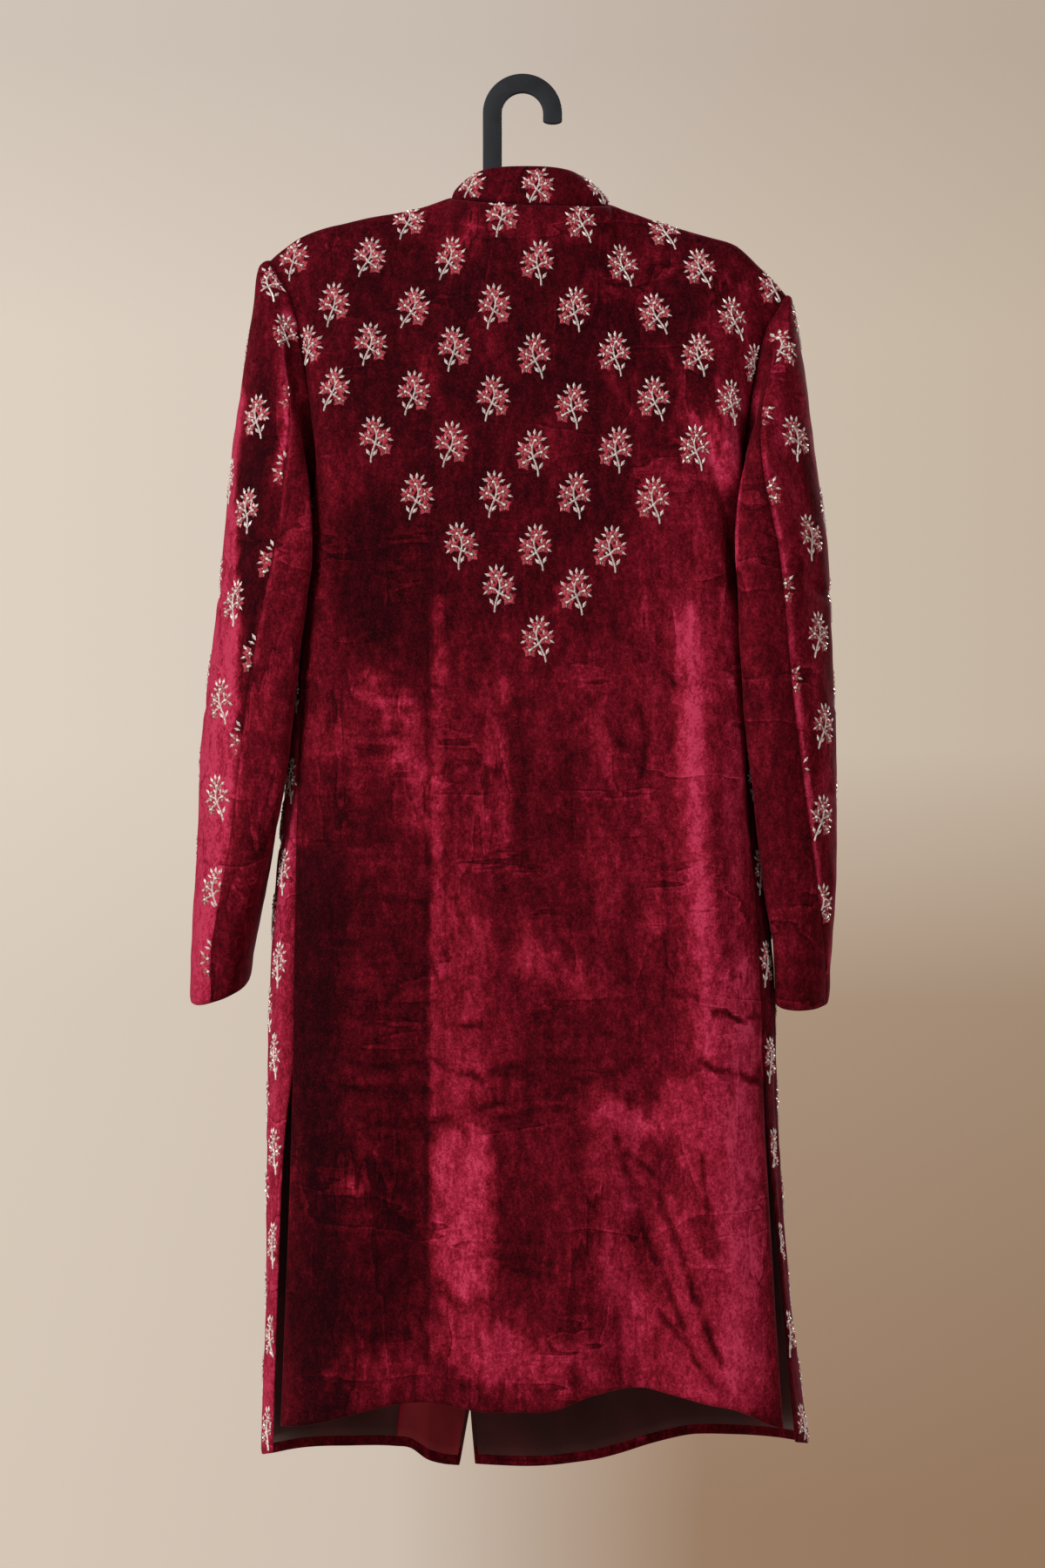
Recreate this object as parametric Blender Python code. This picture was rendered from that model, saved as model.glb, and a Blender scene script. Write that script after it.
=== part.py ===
"""Sherwani coat on its plastic hanger, made of the pieces that a tailor cuts and sews.

Units are metres and +Z is up.  The wearer's left is +X and the coat's back faces +Y.
The origin is the seat of the hanger's hook.  In the tables, "down" is a distance below
that seat, and a column for the left or the right holds distances from the middle.

Each cloth piece is a grid of points on the outside of the coat and a second grid, one
wall further in.  A place on the body has a "lap": 0 at the centre back, 1 at the side
and 2 at the centre front, and it passes 2 where a front panel crosses the middle.
"""
import math
from collections import namedtuple

import bmesh
import bpy
import numpy as np
from mathutils import Matrix, Vector

COAT = "sherwani coat"
CUTTERS = "joined pieces"

LEFT = 1
RIGHT = -1
SIDE_NAME = {LEFT: "left", RIGHT: "right"}

# Cloth
WALL = 0.002
LINING_WALL = 0.001
SEAM_GAP = 0.0003

# Neck opening: two half ellipses that meet at the neck ends of the shoulder seams
NECK_CENTRE = -0.007
NECK_HALF = 0.069
NECK_DOWN = 0.093
NECK_ROLL = 0.003
NECK_BACK_REACH = 0.041
NECK_FRONT_REACH = 0.058
NECK_BACK_DROP = 0.009
NECK_FRONT_DROP = 0.082
NECK_FRONT_CURVE = 1.7
NECK_STEP = 15

# Collar: its top edge is a narrower ring that leans forward
COLLAR_WALL = 0.0024
COLLAR_TOP_CENTRE = -0.0030
COLLAR_TOP_HALF = 0.047
COLLAR_TOP_BACK = 0.031
COLLAR_TOP_FRONT = 0.082
COLLAR_TOP_DOWN = {"back": 0.0675, "side": 0.0725, "front": 0.147}
COLLAR_BULGE = 0.0025
COLLAR_FRONT_GAP = 0.0030
COLLAR_CORNER = 0.012
COLLAR_END_STEPS = (0.0, 0.8, 2.2, 4.5, 8.0)
COLLAR_ROWS = 3

# Shoulder seam, from the neck (share 0) to the sleeve (share 1), as drops below the neck
SHOULDER_TIP = {LEFT: 0.218, RIGHT: 0.228}
Shoulder = namedtuple("Shoulder", "share left_drop right_drop")
SHOULDER = [
    Shoulder(0.0, 0.0000, 0.0000),
    Shoulder(0.2, 0.0105, 0.0120),
    Shoulder(0.4, 0.0155, 0.0210),
    Shoulder(0.6, 0.0228, 0.0295),
    Shoulder(0.7, 0.0265, 0.0345),
    Shoulder(0.8, 0.0313, 0.0460),
    Shoulder(0.9, 0.0410, 0.0620),
    Shoulder(1.0, 0.0535, 0.0776),
]

# Rows from the shoulder line to the foot of the armhole, as shares of that way:
# of the drop, of the change in width and of the change in depth
Yoke = namedtuple("Yoke", "drop width depth")
YOKE = [
    Yoke(0.000, 0.00, 0.00),
    Yoke(0.008, 0.05, 0.10),
    Yoke(0.030, 0.11, 0.18),
    Yoke(0.080, 0.20, 0.27),
    Yoke(0.170, 0.42, 0.39),
    Yoke(0.290, 0.57, 0.53),
    Yoke(0.430, 0.69, 0.68),
    Yoke(0.600, 0.80, 0.83),
    Yoke(0.800, 0.91, 0.95),
    Yoke(1.000, 1.00, 1.00),
]

# Body sections below the armholes: half widths, depths and the reach of the corners
Body = namedtuple("Body", "down left_half right_half back_depth front_depth corner")
BODY = [
    Body(0.335, 0.1820, 0.1895, 0.075, 0.079, 0.028),
    Body(0.410, 0.1890, 0.1920, 0.075, 0.080, 0.034),
    Body(0.480, 0.1940, 0.1945, 0.075, 0.080, 0.040),
    Body(0.540, 0.1990, 0.1970, 0.075, 0.079, 0.046),
    Body(0.600, 0.2045, 0.2010, 0.075, 0.078, 0.052),
    Body(0.660, 0.2105, 0.2065, 0.075, 0.077, 0.054),
    Body(0.700, 0.2138, 0.2115, 0.075, 0.077, 0.055),
    Body(0.746, 0.2165, 0.2165, 0.075, 0.077, 0.056),
    Body(0.800, 0.2195, 0.2174, 0.076, 0.078, 0.057),
    Body(0.900, 0.2202, 0.2208, 0.077, 0.079, 0.058),
    Body(1.030, 0.2210, 0.2303, 0.078, 0.081, 0.060),
    Body(1.090, 0.2228, 0.2368, 0.079, 0.082, 0.061),
    Body(1.160, 0.2258, 0.2475, 0.080, 0.083, 0.062),
]
FLAT_LAP = 0.6
CROWN = 0.05

# Side seams, which become side slits lower down, and the slits' gaps
Seam = namedtuple("Seam", "down left right left_gap right_gap")
SEAM = [
    Seam(0.335, 0.1745, 0.1850, 0.0000, 0.0000),
    Seam(0.410, 0.1845, 0.1870, 0.0000, 0.0000),
    Seam(0.480, 0.1885, 0.1880, 0.0000, 0.0000),
    Seam(0.540, 0.1912, 0.1892, 0.0000, 0.0000),
    Seam(0.600, 0.1924, 0.1920, 0.0000, 0.0000),
    Seam(0.660, 0.1931, 0.1965, 0.0000, 0.0000),
    Seam(0.746, 0.1945, 0.2020, 0.0000, 0.0000),
    Seam(0.830, 0.1952, 0.2050, 0.0003, 0.0003),
    Seam(0.890, 0.1965, 0.2070, 0.0070, 0.0030),
    Seam(0.950, 0.1985, 0.2105, 0.0092, 0.0060),
    Seam(1.030, 0.2017, 0.2148, 0.0092, 0.0090),
    Seam(1.160, 0.2070, 0.2228, 0.0078, 0.0120),
]
SLIT_DOWN = 0.830

# Foot of the armholes
ARM_DOWN = 0.342
ARM_TILT = 0.033
ARM_FRONT_LAP = 1.2
ARM_SCOOP = 0.034

# Hem of the back, by share of the way from the middle (0) to the left or right edge
Hem = namedtuple("Hem", "place down")
BACK_HEM = [
    Hem(-1.00, 1.1405),
    Hem(-0.90, 1.1335),
    Hem(-0.80, 1.1232),
    Hem(-0.68, 1.1170),
    Hem(-0.56, 1.1100),
    Hem(-0.42, 1.1037),
    Hem(-0.23, 1.1115),
    Hem(-0.07, 1.1232),
    Hem(0.10, 1.1235),
    Hem(0.40, 1.1162),
    Hem(0.53, 1.1190),
    Hem(0.65, 1.1245),
    Hem(0.77, 1.1313),
    Hem(0.90, 1.1370),
    Hem(1.00, 1.1392),
]

# Hem of the fronts, by lap
HEM_DOWN = 1.18
FrontHem = namedtuple("FrontHem", "lap left right")
FRONT_HEM = [
    FrontHem(0.83, 1.163, 1.154),
    FrontHem(1.00, 1.173, 1.163),
    FrontHem(1.15, 1.179, 1.168),
    FrontHem(1.30, 1.180, 1.170),
    FrontHem(1.50, 1.181, 1.171),
    FrontHem(1.64, 1.182, 1.178),
    FrontHem(1.72, 1.194, 1.186),
    FrontHem(1.82, 1.198, 1.194),
    FrontHem(2.00, 1.198, 1.198),
    FrontHem(2.14, 1.197, 1.196),
]

# Front edges: the left panel laps over the right one and swings open below the buttons
FrontEdge = namedtuple("FrontEdge", "down left right")
FRONT_EDGE = [
    FrontEdge(0.17, -0.018, 0.022),
    FrontEdge(0.72, -0.018, 0.022),
    FrontEdge(0.86, -0.008, 0.027),
    FrontEdge(1.00, 0.016, 0.037),
    FrontEdge(1.15, 0.048, 0.046),
    FrontEdge(1.20, 0.057, 0.041),
]
LAP_DEPTH = 0.0042
LAP_START = -0.056
LAP_FULL = -0.026
LAP_SLOPE = 0.7
LAP_SLOPE_DOWN = 0.170
LAP_SLOPE_REACH = 0.10

# Largest folds, each along a line from its top to its foot; a hollow has a height below 0
Fold = namedtuple("Fold", "top_x top_down foot_x foot_down width height")
BACK_FOLDS = [
    Fold(0.180, 0.160, 0.178, 0.275, 0.008, 0.004),
    Fold(0.166, 0.165, 0.165, 0.270, 0.009, -0.005),
    Fold(-0.150, 0.270, -0.180, 0.470, 0.013, -0.007),
    Fold(-0.150, 0.400, -0.156, 1.400, 0.028, 0.006),
    Fold(-0.108, 0.780, -0.090, 1.400, 0.022, -0.008),
    Fold(-0.040, 0.900, -0.030, 1.400, 0.022, 0.007),
    Fold(0.025, 0.820, 0.045, 1.400, 0.020, 0.004),
    Fold(0.085, 0.720, 0.090, 1.400, 0.028, -0.006),
    Fold(0.140, 0.640, 0.150, 1.400, 0.026, 0.005),
]
FRONT_FOLDS = [
    Fold(0.166, 0.170, 0.162, 0.280, 0.010, -0.005),
    Fold(-0.168, 0.210, -0.164, 0.330, 0.011, -0.005),
    Fold(0.120, 0.520, 0.128, 1.400, 0.026, 0.006),
    Fold(0.078, 0.760, 0.086, 1.400, 0.020, -0.006),
    Fold(-0.095, 0.600, -0.104, 1.400, 0.024, -0.006),
    Fold(-0.150, 0.480, -0.160, 1.400, 0.026, 0.006),
]
FOLD_FADE = 0.25

# Grids of the body panels
BACK_NECK_SHARE = 0.45
FRONT_NECK_SHARE = 0.60
SHOULDER_COLUMNS = 7
SIDE_COLUMNS = 7
WAIST_ROWS = 7
SKIRT_ROWS = 6

# Sleeve rings below the armhole: the outer and inner ends of each, its half depth and
# middle from front to back, how far its rear end leans in over the body and drops, the
# angle of the hind seam round the ring, and how much of the armhole's form it still has
Ring = namedtuple("Ring", "outer outer_down inner inner_down half_depth middle lean dip seam hold")
SLEEVE_LEFT = [
    Ring(0.2380, 0.1520, 0.1860, 0.377, 0.051, -0.001, 0.002, 0, 90, 0.70),
    Ring(0.2372, 0.1662, 0.1890, 0.383, 0.059, -0.001, 0.010, 0, 97, 0.45),
    Ring(0.2385, 0.2060, 0.1910, 0.390, 0.067, 0.000, 0.021, 0, 86, 0.24),
    Ring(0.2450, 0.2600, 0.1920, 0.398, 0.074, 0.002, 0.029, 0, 77, 0.10),
    Ring(0.2515, 0.3200, 0.1930, 0.408, 0.078, 0.003, 0.034, 0, 69, 0.02),
    Ring(0.2565, 0.3800, 0.1935, 0.422, 0.080, 0.003, 0.035, 0, 66, 0.00),
    Ring(0.2635, 0.4450, 0.1955, 0.460, 0.080, 0.002, 0.034, 0, 61, 0.00),
    Ring(0.2720, 0.5100, 0.2000, 0.512, 0.077, 0.000, 0.032, 0, 60, 0.00),
    Ring(0.2780, 0.5800, 0.2055, 0.575, 0.073, -0.003, 0.029, 0, 58, 0.00),
    Ring(0.2810, 0.6400, 0.2125, 0.632, 0.068, -0.007, 0.021, 0, 62, 0.00),
    Ring(0.2835, 0.6900, 0.2205, 0.680, 0.063, -0.011, 0.009, 0, 70, 0.00),
    Ring(0.2860, 0.7400, 0.2310, 0.728, 0.059, -0.015, 0.000, 0.003, 79, 0.00),
    Ring(0.2880, 0.7800, 0.2365, 0.766, 0.057, -0.018, 0.000, 0.008, 85, 0.00),
]
SLEEVE_RIGHT = [
    Ring(0.2420, 0.1820, 0.1930, 0.389, 0.051, -0.001, 0.002, 0, 74, 0.70),
    Ring(0.2400, 0.1990, 0.1945, 0.395, 0.059, -0.001, 0.009, 0, 84, 0.45),
    Ring(0.2425, 0.2300, 0.1955, 0.402, 0.067, 0.000, 0.018, 0, 82, 0.24),
    Ring(0.2480, 0.2720, 0.1960, 0.410, 0.074, 0.002, 0.026, 0, 73, 0.10),
    Ring(0.2545, 0.3250, 0.1965, 0.420, 0.078, 0.003, 0.030, 0, 66, 0.02),
    Ring(0.2615, 0.3820, 0.1970, 0.434, 0.080, 0.003, 0.032, 0, 60, 0.00),
    Ring(0.2655, 0.4450, 0.1975, 0.462, 0.080, 0.002, 0.033, 0, 57, 0.00),
    Ring(0.2685, 0.5120, 0.1993, 0.512, 0.077, 0.000, 0.033, 0, 55, 0.00),
    Ring(0.2710, 0.5820, 0.2030, 0.580, 0.073, -0.003, 0.030, 0, 52, 0.00),
    Ring(0.2715, 0.6360, 0.2080, 0.636, 0.068, -0.007, 0.028, 0, 47, 0.00),
    Ring(0.2705, 0.6900, 0.2140, 0.690, 0.063, -0.011, 0.025, 0, 39, 0.00),
    Ring(0.2680, 0.7400, 0.2200, 0.738, 0.059, -0.015, 0.021, 0.004, 27, 0.00),
    Ring(0.2660, 0.7830, 0.2215, 0.774, 0.057, -0.018, 0.020, 0.009, 17, 0.00),
]
SLEEVES = {LEFT: SLEEVE_LEFT, RIGHT: SLEEVE_RIGHT}
SLEEVE_FULLNESS = 2.4
FORE_SEAM = -130
HIND_SEAM_ROW = {LEFT: 6, RIGHT: 5}
UNDER_ARM_FREEDOM = 0.8

# Lining and facing inside the fronts, whose edges stay inside the panel's own
LINING_HEM = 0.009
LINING_EDGE = 0.003
LINING_SLIT_EDGE = 0.010
FACING_COLUMNS = 4

# Buttons down the centre front
BUTTONS = 7
BUTTON_TOP_DOWN = 0.205
BUTTON_PITCH = 0.078
BUTTON_RADIUS = 0.0085
BUTTON_RIM = 0.0014
BUTTON_DOME = 0.0040
BUTTON_BACK_SHARE = 0.90
BUTTON_DOME_SHARE = 0.97
BUTTON_DOME_DEGREES = (25, 55, 90)
BUTTON_GAP = 0.0004
BUTTON_STEPS = 12

# Hanger
HOOK_THICKNESS = 0.006
HOOK_INNER_RADIUS = 0.0177
HOOK_OUTER_RADIUS = 0.0342
HOOK_TIP_DOWN = 0.027
STEM_FOOT_DOWN = 0.104
ARM_SPAN = 0.168
ARM_MIDDLE = 0.003
ARM_HALF_THICKNESS = 0.005
ARM_HALF_HEIGHT = 0.011
ARM_TIP_HALF_HEIGHT = 0.006
ARM_GAP = 0.0018
ARM_RISE = 0.006
ARM_RISE_REACH = 0.05
ARM_STATIONS = 24
ARM_SIDES = 12


def along(rows, column, at):
    """Read a table's column at the stations: a smooth curve that stays between its rows."""
    stations = np.array([row[0] for row in rows], dtype=float)
    values = np.array([getattr(row, column) for row in rows], dtype=float)
    step = np.diff(stations)
    slope = np.diff(values) / step
    bend = np.zeros(len(values))
    bend[0] = slope[0]
    bend[-1] = slope[-1]
    before, after = slope[:-1], slope[1:]
    same = before * after > 0
    bend[1:-1][same] = 2 * before[same] * after[same] / (before[same] + after[same])
    at = np.clip(np.asarray(at, dtype=float), stations[0], stations[-1])
    k = np.clip(np.searchsorted(stations, at, side="right") - 1, 0, len(step) - 1)
    t = (at - stations[k]) / step[k]
    rise = values[k + 1] - values[k]
    return (values[k] + rise * t * t * (3 - 2 * t)
            + step[k] * t * (1 - t) * ((1 - t) * bend[k] - t * bend[k + 1]))


def sided(rows, column, side, at):
    """Read the column that holds this side's values, such as left_half or right."""
    return along(rows, SIDE_NAME[side] + column, at)


def mix(a, b, t):
    return a + (b - a) * t


def smooth(t):
    t = np.clip(t, 0.0, 1.0)
    return t * t * (3 - 2 * t)


def points(x, y, z):
    """Join three coordinates into an array of points."""
    return np.stack(np.broadcast_arrays(x, y, z), axis=-1)


# ---------------------------------------------------------------- the body's surface

def fold_height(folds, x, down):
    """Height of the folds at a place, above or below the plain surface."""
    height = np.zeros(np.broadcast(x, down).shape)
    for fold in folds:
        t = (down - fold.top_down) / (fold.foot_down - fold.top_down)
        line = mix(fold.top_x, fold.foot_x, np.clip(t, 0, 1))
        fade = smooth(t / FOLD_FADE) * smooth((1 - t) / FOLD_FADE)
        height = height + fold.height * fade * np.exp(-((x - line) / fold.width) ** 2)
    return height


def flat_half(side, down):
    return sided(BODY, "_half", side, down) - along(BODY, "corner", down)


def lap_at(side, x, down):
    """Lap on the back of the body at a distance from the middle."""
    flat = flat_half(side, down)
    corner = along(BODY, "corner", down)
    turn = np.arcsin(np.clip((x - flat) / corner, 0, 1))
    return np.where(x < flat, FLAT_LAP * x / flat, mix(FLAT_LAP, 1.0, turn / (math.pi / 2)))


def body_point(side, lap, down):
    """Point on the outside of the coat below the armholes."""
    lap = np.asarray(lap, dtype=float)
    at_back = lap <= 1
    from_middle = np.where(at_back, lap, 2 - lap)
    flat = flat_half(side, down)
    corner = along(BODY, "corner", down)
    turn = np.clip((from_middle - FLAT_LAP) / (1 - FLAT_LAP), 0, 1) * math.pi / 2
    x = np.minimum(from_middle, FLAT_LAP) / FLAT_LAP * flat + corner * np.sin(turn)
    depth = np.where(at_back, along(BODY, "back_depth", down),
                     -along(BODY, "front_depth", down))
    y = depth * np.cos(turn) * (1 - CROWN * (x / (flat + corner)) ** 2)
    return points(side * x, y, -down)


def folded(grid):
    """Raise the folds on a grid of body points."""
    x, y, down = grid[..., 0], grid[..., 1], -grid[..., 2]
    facing = np.clip(y / 0.05, -1, 1)
    back = np.clip(facing, 0, 1) * fold_height(BACK_FOLDS, x, down)
    front = np.clip(facing, -1, 0) * fold_height(FRONT_FOLDS, x, down)
    return points(x, y + back + front, -down)


def tucked(grid):
    """Tuck the right front's edge under the left front."""
    x, down = grid[..., 0], -grid[..., 2]
    tuck = LAP_DEPTH * smooth((x - LAP_START) / (LAP_FULL - LAP_START))
    slope = LAP_SLOPE * smooth(1 - (down - LAP_SLOPE_DOWN) / LAP_SLOPE_REACH)
    return grid + unit(points(0 * x, 1, -slope)) * tuck[..., None]


def neck_point(degrees):
    """Point on the neckline: 0 at the centre back, 90 at the left and 180 at the front.

    The line is straight between the panels' points, which are a step apart.
    """
    stations = np.arange(-14, 15) * NECK_STEP
    curve = neck_curve(np.radians(stations))
    return np.stack([np.interp(degrees, stations, curve[:, k]) for k in range(3)], axis=-1)


def neck_curve(turn):
    across = np.sin(turn)
    back = np.clip(np.cos(turn), 0, 1)
    front = np.clip(-np.cos(turn), 0, 1)
    x = NECK_CENTRE + NECK_HALF * across
    y = NECK_BACK_REACH * back - NECK_FRONT_REACH * front
    down = (NECK_DOWN - NECK_ROLL * across + NECK_BACK_DROP * back
            + NECK_FRONT_DROP * front ** NECK_FRONT_CURVE)
    return points(x, y, -down)


def shoulder_point(side, share, face):
    """Point on the shoulder seam, on the back's side of it (face 1) or the front's (-1)."""
    neck = neck_point(side * 90)
    x = mix(neck[0], side * SHOULDER_TIP[side], share)
    down = sided(SHOULDER, "_drop", side, share) - neck[2]
    return points(x, face * SEAM_GAP / 2, -down)


def armhole_foot(side, lap):
    """How far down the foot of the armhole is at a lap."""
    x = body_point(side, lap, ARM_DOWN)[..., 0]
    return ARM_DOWN - ARM_TILT * x


def yoke_rows(top, foot):
    """Rows of points from a panel's top edge to its row at the foot of the armholes."""
    rows = []
    for row in YOKE:
        x = mix(top[:, 0], foot[:, 0], row.width)
        y = mix(top[:, 1], foot[:, 1], row.depth)
        z = mix(top[:, 2], foot[:, 2], row.drop)
        rows.append(points(x, y, z))
    return rows


# ---------------------------------------------------------------- grids of the panels

def back_grid():
    """The back panel, from the wearer's right edge to the left edge."""
    turns = np.arange(0, 91, NECK_STEP)
    shoulder = np.linspace(0, 1, SHOULDER_COLUMNS + 1)[1:]
    share = np.concatenate([turns / 90 * BACK_NECK_SHARE, mix(BACK_NECK_SHARE, 1, shoulder)])
    halves = {}
    for side in (LEFT, RIGHT):
        top = np.concatenate([neck_point(side * turns),
                              shoulder_point(side, shoulder, 1)])
        seam = lap_at(side, sided(SEAM, "", side, ARM_DOWN), ARM_DOWN)
        down = armhole_foot(side, share * seam)
        rows = yoke_rows(top, body_point(side, share * seam, down))
        for t in np.linspace(0, 1, WAIST_ROWS + 1)[1:]:
            rows.append(back_row(side, share, mix(down, SLIT_DOWN, t)))
        hem = along(BACK_HEM, "down", side * share)
        for t in np.linspace(0, 1, SKIRT_ROWS + 1)[1:]:
            rows.append(back_row(side, share, mix(SLIT_DOWN, hem, t)))
        halves[side] = np.array(rows)
    grid = np.concatenate([halves[RIGHT][:, :0:-1], halves[LEFT]], axis=1)
    return folded(grid)


def back_row(side, share, down):
    edge = down[-1]
    seam = lap_at(side, sided(SEAM, "", side, edge) - SEAM_GAP / 2, edge)
    return body_point(side, share * seam, down)


def front_edge_lap(side, down):
    """Lap of a front panel's free edge."""
    x = side * sided(FRONT_EDGE, "", side, down)
    return 2 - FLAT_LAP * x / flat_half(side, down)


def front_seam_lap(side, down):
    """Lap of a front panel's side seam, or of its edge of the slit."""
    x = sided(SEAM, "", side, down) + SEAM_GAP / 2 + sided(SEAM, "_gap", side, down)
    return lap_at(side, x, down)


def front_grid(side):
    """A front panel, from its free edge round to the side seam, and the cells it has.

    The columns past the armhole start at the foot of the armhole, so the grid has no
    cells above them.
    """
    turns = front_neck_turns(side)
    shoulder = np.linspace(0, 1, SHOULDER_COLUMNS + 1)[1:]
    top = np.concatenate([neck_point(side * turns),
                          shoulder_point(side, shoulder, -1)])
    chest = len(top)
    chest_share = np.concatenate([np.linspace(0, FRONT_NECK_SHARE, len(turns)),
                                  mix(FRONT_NECK_SHARE, 1, shoulder)])
    side_share = np.linspace(0, 1, SIDE_COLUMNS + 1)[1:]

    lap = mix(front_edge_lap(side, ARM_DOWN), ARM_FRONT_LAP, chest_share)
    side_lap = mix(ARM_FRONT_LAP, front_seam_lap(side, ARM_DOWN), side_share)
    all_laps = np.concatenate([lap, side_lap])
    down = armhole_foot(side, all_laps)
    down[chest:] += ARM_SCOOP * np.sin(math.pi * side_share)
    foot = body_point(side, all_laps, down)

    missing = np.zeros((len(side_share), 3))
    rows = [np.concatenate([row, missing]) for row in yoke_rows(top, foot[:chest])]
    rows[-1] = foot
    for t in np.linspace(0, 1, WAIST_ROWS + 1)[1:]:
        rows.append(front_row(side, chest_share, side_share, mix(down, SLIT_DOWN, t)))
    hem_laps = np.concatenate([
        mix(front_edge_lap(side, HEM_DOWN), ARM_FRONT_LAP, chest_share),
        mix(ARM_FRONT_LAP, front_seam_lap(side, HEM_DOWN), side_share)])
    hem = sided(FRONT_HEM, "", side, hem_laps)
    for t in np.linspace(0, 1, SKIRT_ROWS + 1)[1:]:
        rows.append(front_row(side, chest_share, side_share, mix(SLIT_DOWN, hem, t)))
    grid = folded(np.array(rows))
    cells = all_cells(grid)
    cells[:len(YOKE) - 1, chest - 1:] = False
    if side == RIGHT:
        grid = tucked(grid)
    return grid, cells


def front_neck_turns(side):
    """Degrees of a front panel's neckline points, from its free edge to the shoulder."""
    edge_x = sided(FRONT_EDGE, "", side, 0)
    edge = 180 + math.degrees(math.asin(side * (NECK_CENTRE - edge_x) / NECK_HALF))
    return np.append(edge, np.arange(edge // NECK_STEP * NECK_STEP, 89, -NECK_STEP))


def front_row(side, chest_share, side_share, down):
    edge = front_edge_lap(side, down[0])
    seam = front_seam_lap(side, down[-1])
    lap = np.concatenate([mix(edge, ARM_FRONT_LAP, chest_share),
                          mix(ARM_FRONT_LAP, seam, side_share)])
    return body_point(side, lap, down)


def all_cells(grid):
    return np.ones((grid.shape[0] - 1, grid.shape[1] - 1), dtype=bool)


def inset(grid, first=0.0, last=0.0, foot=0.0):
    """Move a grid's first and last columns, and its last row, in towards the others."""
    moved = grid.copy()
    moved[:, 0] += first * unit(grid[:, 1] - grid[:, 0])
    moved[:, -1] += last * unit(grid[:, -2] - grid[:, -1])
    moved[-1] += foot * unit(moved[-2] - moved[-1])
    return moved


def unit(vectors):
    return vectors / np.maximum(np.linalg.norm(vectors, axis=-1, keepdims=True), 1e-12)


def grid_normals(grid, cells, outward):
    """Unit normals at a grid's points, on the side that outward(point) points to."""
    normals = np.zeros(grid.shape)
    down_edge = grid[1:, :-1] - grid[:-1, 1:]
    across_edge = grid[1:, 1:] - grid[:-1, :-1]
    cell_normals = np.cross(down_edge, across_edge) * cells[..., None]
    for i, j in ((0, 0), (0, 1), (1, 0), (1, 1)):
        rows = slice(i, grid.shape[0] - 1 + i)
        columns = slice(j, grid.shape[1] - 1 + j)
        normals[rows, columns] += cell_normals
    normals = unit(normals)
    return normals if np.sum(normals * outward(grid)) > 0 else -normals


def from_axis(grid):
    """Directions away from the coat's upright middle axis."""
    return grid * np.array([0.3, 1.0, 0.0])


# ---------------------------------------------------------------- sleeves

def armhole_loop(side, back, back_normals, front, front_normals):
    """Degrees, points and normals round the armhole, from the fore seam up over the
    shoulder (0 degrees), down the back and under the arm to the fore seam again."""
    foot = len(YOKE) - 1
    edge = -1 if side == LEFT else 0
    corner = front.shape[1] - 1 - SIDE_COLUMNS
    loops = []
    for back_values, front_values in ((back, front), (back_normals, front_normals)):
        up_front = front_values[foot:0:-1, corner]
        down_back = back_values[:foot + 1, edge]
        under_arm = front_values[foot, -2:corner - 1:-1]
        loops.append(np.concatenate([up_front, down_back, under_arm]))
    place, normal = loops
    way = np.append(0, np.cumsum(np.linalg.norm(np.diff(place, axis=0), axis=1)))
    shoulder, lowest = way[foot], way[np.argmin(place[:, 2])]
    span = way[-1]
    angle = np.interp(way, [0, shoulder, lowest, span],
                      [-180 * shoulder / (shoulder + span - lowest), 0, 180,
                       180 + 180 * (span - lowest) / (shoulder + span - lowest)])
    return angle, place, normal


def rounded(value):
    """Sine or cosine of a fuller section than an ellipse."""
    return np.sign(value) * np.abs(value) ** (2 / SLEEVE_FULLNESS)


def sleeve_ring(side, ring, angle):
    """Points round one sleeve ring: 0 degrees is outermost and 90 rearmost."""
    turn = np.radians(angle)
    outward, rearward = rounded(np.cos(turn)), rounded(np.sin(turn))
    share = (1 + outward) / 2
    x = mix(ring.inner, ring.outer, share) - ring.lean * np.clip(rearward, 0, 1) ** 2
    y = ring.middle + ring.half_depth * rearward
    down = mix(ring.inner_down, ring.outer_down, share) + ring.dip * np.clip(rearward, 0, 1)
    return points(side * x, y, -down)


def sleeve_grid(side, loop):
    """Closed grid of a sleeve, which starts and ends at its fore seam."""
    loop_angle, armhole, panel_normals = loop
    hind = hind_column(side)
    columns = np.arange(len(loop_angle))
    rows = []
    for ring in SLEEVES[side]:
        even = np.interp(columns, [0, len(YOKE) - 1, hind, columns[-1]],
                         [FORE_SEAM, 0, ring.seam, FORE_SEAM + 360])
        place = sleeve_ring(side, ring, mix(even, loop_angle, ring.hold))
        under_arm = np.clip(-np.cos(np.radians(loop_angle)), 0, 1)
        hold = ring.hold * (1 - UNDER_ARM_FREEDOM * under_arm)
        rows.append(mix(place, armhole, hold[:, None]))
    first = armhole + SEAM_GAP * (unit(rows[0] - armhole) + panel_normals)
    return np.array([first] + rows)


def hind_column(side):
    """Column of a sleeve's hind seam."""
    return len(YOKE) - 1 + HIND_SEAM_ROW[side]


def closed_normals(side, grid):
    """Normals of a closed grid, whose first and last columns are the same line."""
    wrapped = np.concatenate([grid[:, -2:-1], grid, grid[:, 1:2]], axis=1)
    middles = [((r.outer + r.inner) / 2, r.middle, -(r.outer_down + r.inner_down) / 2)
               for r in SLEEVES[side]]
    middles = np.array(middles[:1] + middles) * np.array([side, 1, 1])
    normals = grid_normals(wrapped, all_cells(wrapped), lambda g: g - middles[:, None, :])
    return normals[:, 1:-1]


# ---------------------------------------------------------------- solids

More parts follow.
